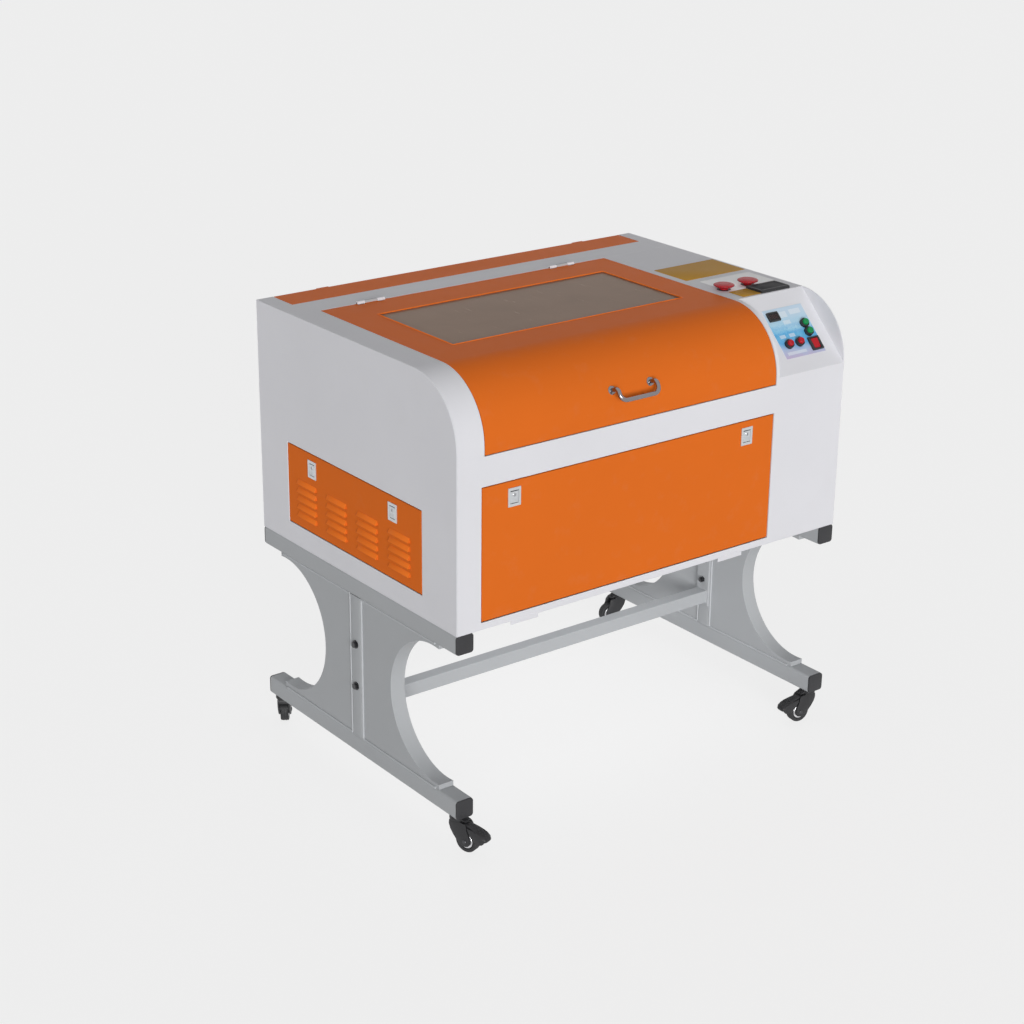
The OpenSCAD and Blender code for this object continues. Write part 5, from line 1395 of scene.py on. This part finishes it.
class ENGRAVER_OT_rear(Operator):
    """Finish the exhaust spigot, the mains inlet and the water nipples"""

    bl_idname = "engraver.rear"
    bl_label = "Rear fittings"

    def execute(self, context):
        coat("zinc", "rear_fittings")
        soften(0.0006, "rear_fittings")
        self.guard()
        self.inlet()
        return {"FINISHED"}

    def guard(self):
        """Wire guard in the exhaust spigot: rings on two crossed wires."""
        x, z = EXHAUST
        out, behind = 0.010, 0.0022
        centre = Vector((x, BACK_Y + out, z))
        wire, length = 0.0012, 0.094
        wires = Shape()
        for radius in (0.012, 0.024, 0.036, 0.0465):
            wires.add(hoop(radius, wire), aim(centre, (0, 1, 0)))
        for turn in (math.pi / 4, 3 * math.pi / 4):
            along = Matrix.Rotation(turn, 3, "Y") @ Vector((0, 0, 1))
            start = centre - along * length / 2 - Vector((0, behind, 0))
            wires.add(rod(wire, length, 8), aim(start, along))
        wires.piece("exhaust_guard", "zinc", "cabinet", "bright_steel")

    def inlet(self):
        """Rim, well and three pins of the mains inlet."""
        x, z = INLET
        outward = Matrix.Rotation(-math.pi / 2, 4, "X")
        rim_out, well_out, pin_out = 0.0062, 0.0016, 0.0040
        collar = border(width=0.052, depth=0.034, thick=0.0014, band=0.0115, corner=0.003)
        rim = Shape().add(collar, at(x, BACK_Y + rim_out, z) @ outward)
        rim.piece("inlet_rim", "black_plastic", "cabinet", "black_plastic")
        floor = plate(width=0.0276, depth=0.0196, thick=0.0012, corner=0.002)
        well = Shape().add(floor, at(x, BACK_Y + well_out, z) @ outward)
        well.piece("inlet_well", "black_plastic", "cabinet", "black_plastic")
        pins = Shape()
        for dx, dz in ((-0.007, -0.002), (0.0, 0.003), (0.007, -0.002)):
            pin = block(width=0.002, depth=0.0036, height=0.004, edge=0.0004)
            pins.add(pin, at(x + dx, BACK_Y + pin_out, z + dz))
        pins.piece("inlet_pins", "brass", "cabinet", "bright_steel")


# Stage


class ENGRAVER_OT_stage(Operator):
    """Set the floor, the lights and the camera"""

    bl_idname = "engraver.stage"
    bl_label = "Stage"

    def execute(self, context):
        scene = context.scene
        stage = scene.engraver_stage
        scene.view_settings.view_transform = "Standard"
        self.camera(scene, stage)
        self.sky(scene, stage)
        self.floor(scene, stage)
        self.sun(scene, "key_light", stage.key, azimuth=-28.0, elevation=7.0, angle=28.0)
        back = self.sun(scene, "back_light", stage.fill, azimuth=140.0, elevation=6.0, angle=20.0)
        back.visible_glossy = False
        self.soft_box(scene, "low_light", stage.low, place=(0.0, 0.0, 0.462), width=0.86, depth=0.62)
        return {"FINISHED"}

    def camera(self, scene, stage):
        """Camera from its place, its two angles and its roll."""
        a, e = stage.azimuth, stage.elevation
        right = Vector((math.cos(a), math.sin(a), 0))
        back = Vector((math.sin(a) * math.cos(e), -math.cos(a) * math.cos(e), math.sin(e)))
        up = back.cross(right)
        c, s = math.cos(stage.roll), math.sin(stage.roll)
        right, up = c * right + s * up, c * up - s * right
        data = bpy.data.cameras.new("camera")
        data.sensor_width = 36.0
        data.lens = stage.lens
        data.clip_end = 500.0
        camera = bpy.data.objects.new("camera", data)
        camera.matrix_world = framed(stage.camera, right, up, back)
        scene.collection.objects.link(camera)
        scene.camera = camera

    def seen(self, tree):
        """1 for rays that show the backdrop: from the camera, off gloss and through glass."""
        rays = [
            tree.node("ShaderNodeLightPath", out=name)
            for name in ("Is Camera Ray", "Is Glossy Ray", "Is Transmission Ray")
        ]
        return (rays[0] + rays[1] + rays[2]).held()

    def sky(self, scene, stage):
        """Even light, and a brighter backdrop where it is seen."""
        world = bpy.data.worlds.new("studio")
        scene.world = world
        world.use_nodes = True
        tree = Tree(world.node_tree)
        world.node_tree.nodes.clear()
        level = self.seen(tree) * (stage.backdrop - stage.sky) + stage.sky
        light = tree.node("ShaderNodeBackground", None, {"Color": (1.0, 1.0, 1.0, 1.0), "Strength": level})
        tree.node("ShaderNodeOutputWorld", None, {"Surface": light})

    def floor(self, scene, stage):
        """Paper floor that glows where it is seen, so that it meets the backdrop."""
        form = bmesh.new()
        bmesh.ops.create_grid(form, x_segments=1, y_segments=1, size=stage.floor)
        mesh = bpy.data.meshes.new("floor")
        form.to_mesh(mesh)
        form.free()
        floor = bpy.data.objects.new("floor", mesh)
        floor.location.z = -0.0002
        scene.collection.objects.link(floor)
        finish = Finish("floor_paper")
        finish.nodes.remove(finish.shader)
        diffuse = finish.node("ShaderNodeBsdfDiffuse", None, {"Color": (0.82, 0.82, 0.82, 1.0)})
        glow = finish.node("ShaderNodeEmission", None, {"Color": (1.0, 1.0, 1.0, 1.0), "Strength": 0.94})
        blend = finish.node("ShaderNodeMixShader", None, {0: self.seen(finish) * 0.85, 1: diffuse, 2: glow})
        finish.plug(finish.nodes["Material Output"].inputs["Surface"], blend)
        mesh.materials.append(finish.material)

    def soft_box(self, scene, name, strength, place, width, depth):
        """Even light that faces the floor and isn't seen itself."""
        data = bpy.data.lights.new(name, "AREA")
        data.shape = "RECTANGLE"
        data.size = width
        data.size_y = depth
        data.spread = math.radians(100.0)
        data.energy = strength
        lamp = bpy.data.objects.new(name, data)
        lamp.location = place
        lamp.visible_camera = False
        scene.collection.objects.link(lamp)

    def sun(self, scene, name, strength, azimuth, elevation, angle):
        """Distant light from a direction, all angles in degrees."""
        a, e = math.radians(azimuth), math.radians(elevation)
        data = bpy.data.lights.new(name, "SUN")
        data.energy = strength
        data.angle = math.radians(angle)
        lamp = bpy.data.objects.new(name, data)
        toward = Vector((math.sin(a) * math.cos(e), -math.cos(a) * math.cos(e), math.sin(e)))
        lamp.rotation_euler = toward.to_track_quat("Z", "Y").to_euler()
        distance = 6.0
        lamp.location = toward * distance
        scene.collection.objects.link(lamp)
        return lamp


# Panel and order

GROUPS = (
    ("engraver_paint", EngraverPaint),
    ("engraver_fittings", EngraverFittings),
    ("engraver_stage", EngraverStage),
)

STEPS = (
    ENGRAVER_OT_finishes,
    ENGRAVER_OT_cabinet,
    ENGRAVER_OT_screws,
    ENGRAVER_OT_stand,
    ENGRAVER_OT_casters,
    ENGRAVER_OT_lid,
    ENGRAVER_OT_latches,
    ENGRAVER_OT_shoulder,
    ENGRAVER_OT_buttons,
    ENGRAVER_OT_bed,
    ENGRAVER_OT_motion,
    ENGRAVER_OT_laser,
    ENGRAVER_OT_rear,
    ENGRAVER_OT_stage,
)


class ENGRAVER_PT_panel(Panel):
    """Lists the steps and their settings"""

    bl_idname = "ENGRAVER_PT_panel"
    bl_label = "Engraver"
    bl_space_type = "VIEW_3D"
    bl_region_type = "UI"
    bl_category = "Engraver"

    def draw(self, context):
        for group_name, _ in GROUPS:
            group = getattr(context.scene, group_name)
            box = self.layout.box()
            for name in group.bl_rna.properties.keys():
                if name not in ("rna_type", "name"):
                    box.prop(group, name)
        for step in STEPS:
            self.layout.operator(step.bl_idname)


def register():
    for name, group in GROUPS:
        bpy.utils.register_class(group)
        setattr(bpy.types.Scene, name, PointerProperty(type=group))
    for step in STEPS:
        bpy.utils.register_class(step)
    bpy.utils.register_class(ENGRAVER_PT_panel)


def unregister():
    bpy.utils.unregister_class(ENGRAVER_PT_panel)
    for step in reversed(STEPS):
        bpy.utils.unregister_class(step)
    for name, group in reversed(GROUPS):
        delattr(bpy.types.Scene, name)
        bpy.utils.unregister_class(group)


def main():
    register()
    for step in STEPS:
        family, name = step.bl_idname.split(".")
        getattr(getattr(bpy.ops, family), name)()


if __name__ == "__main__":
    main()
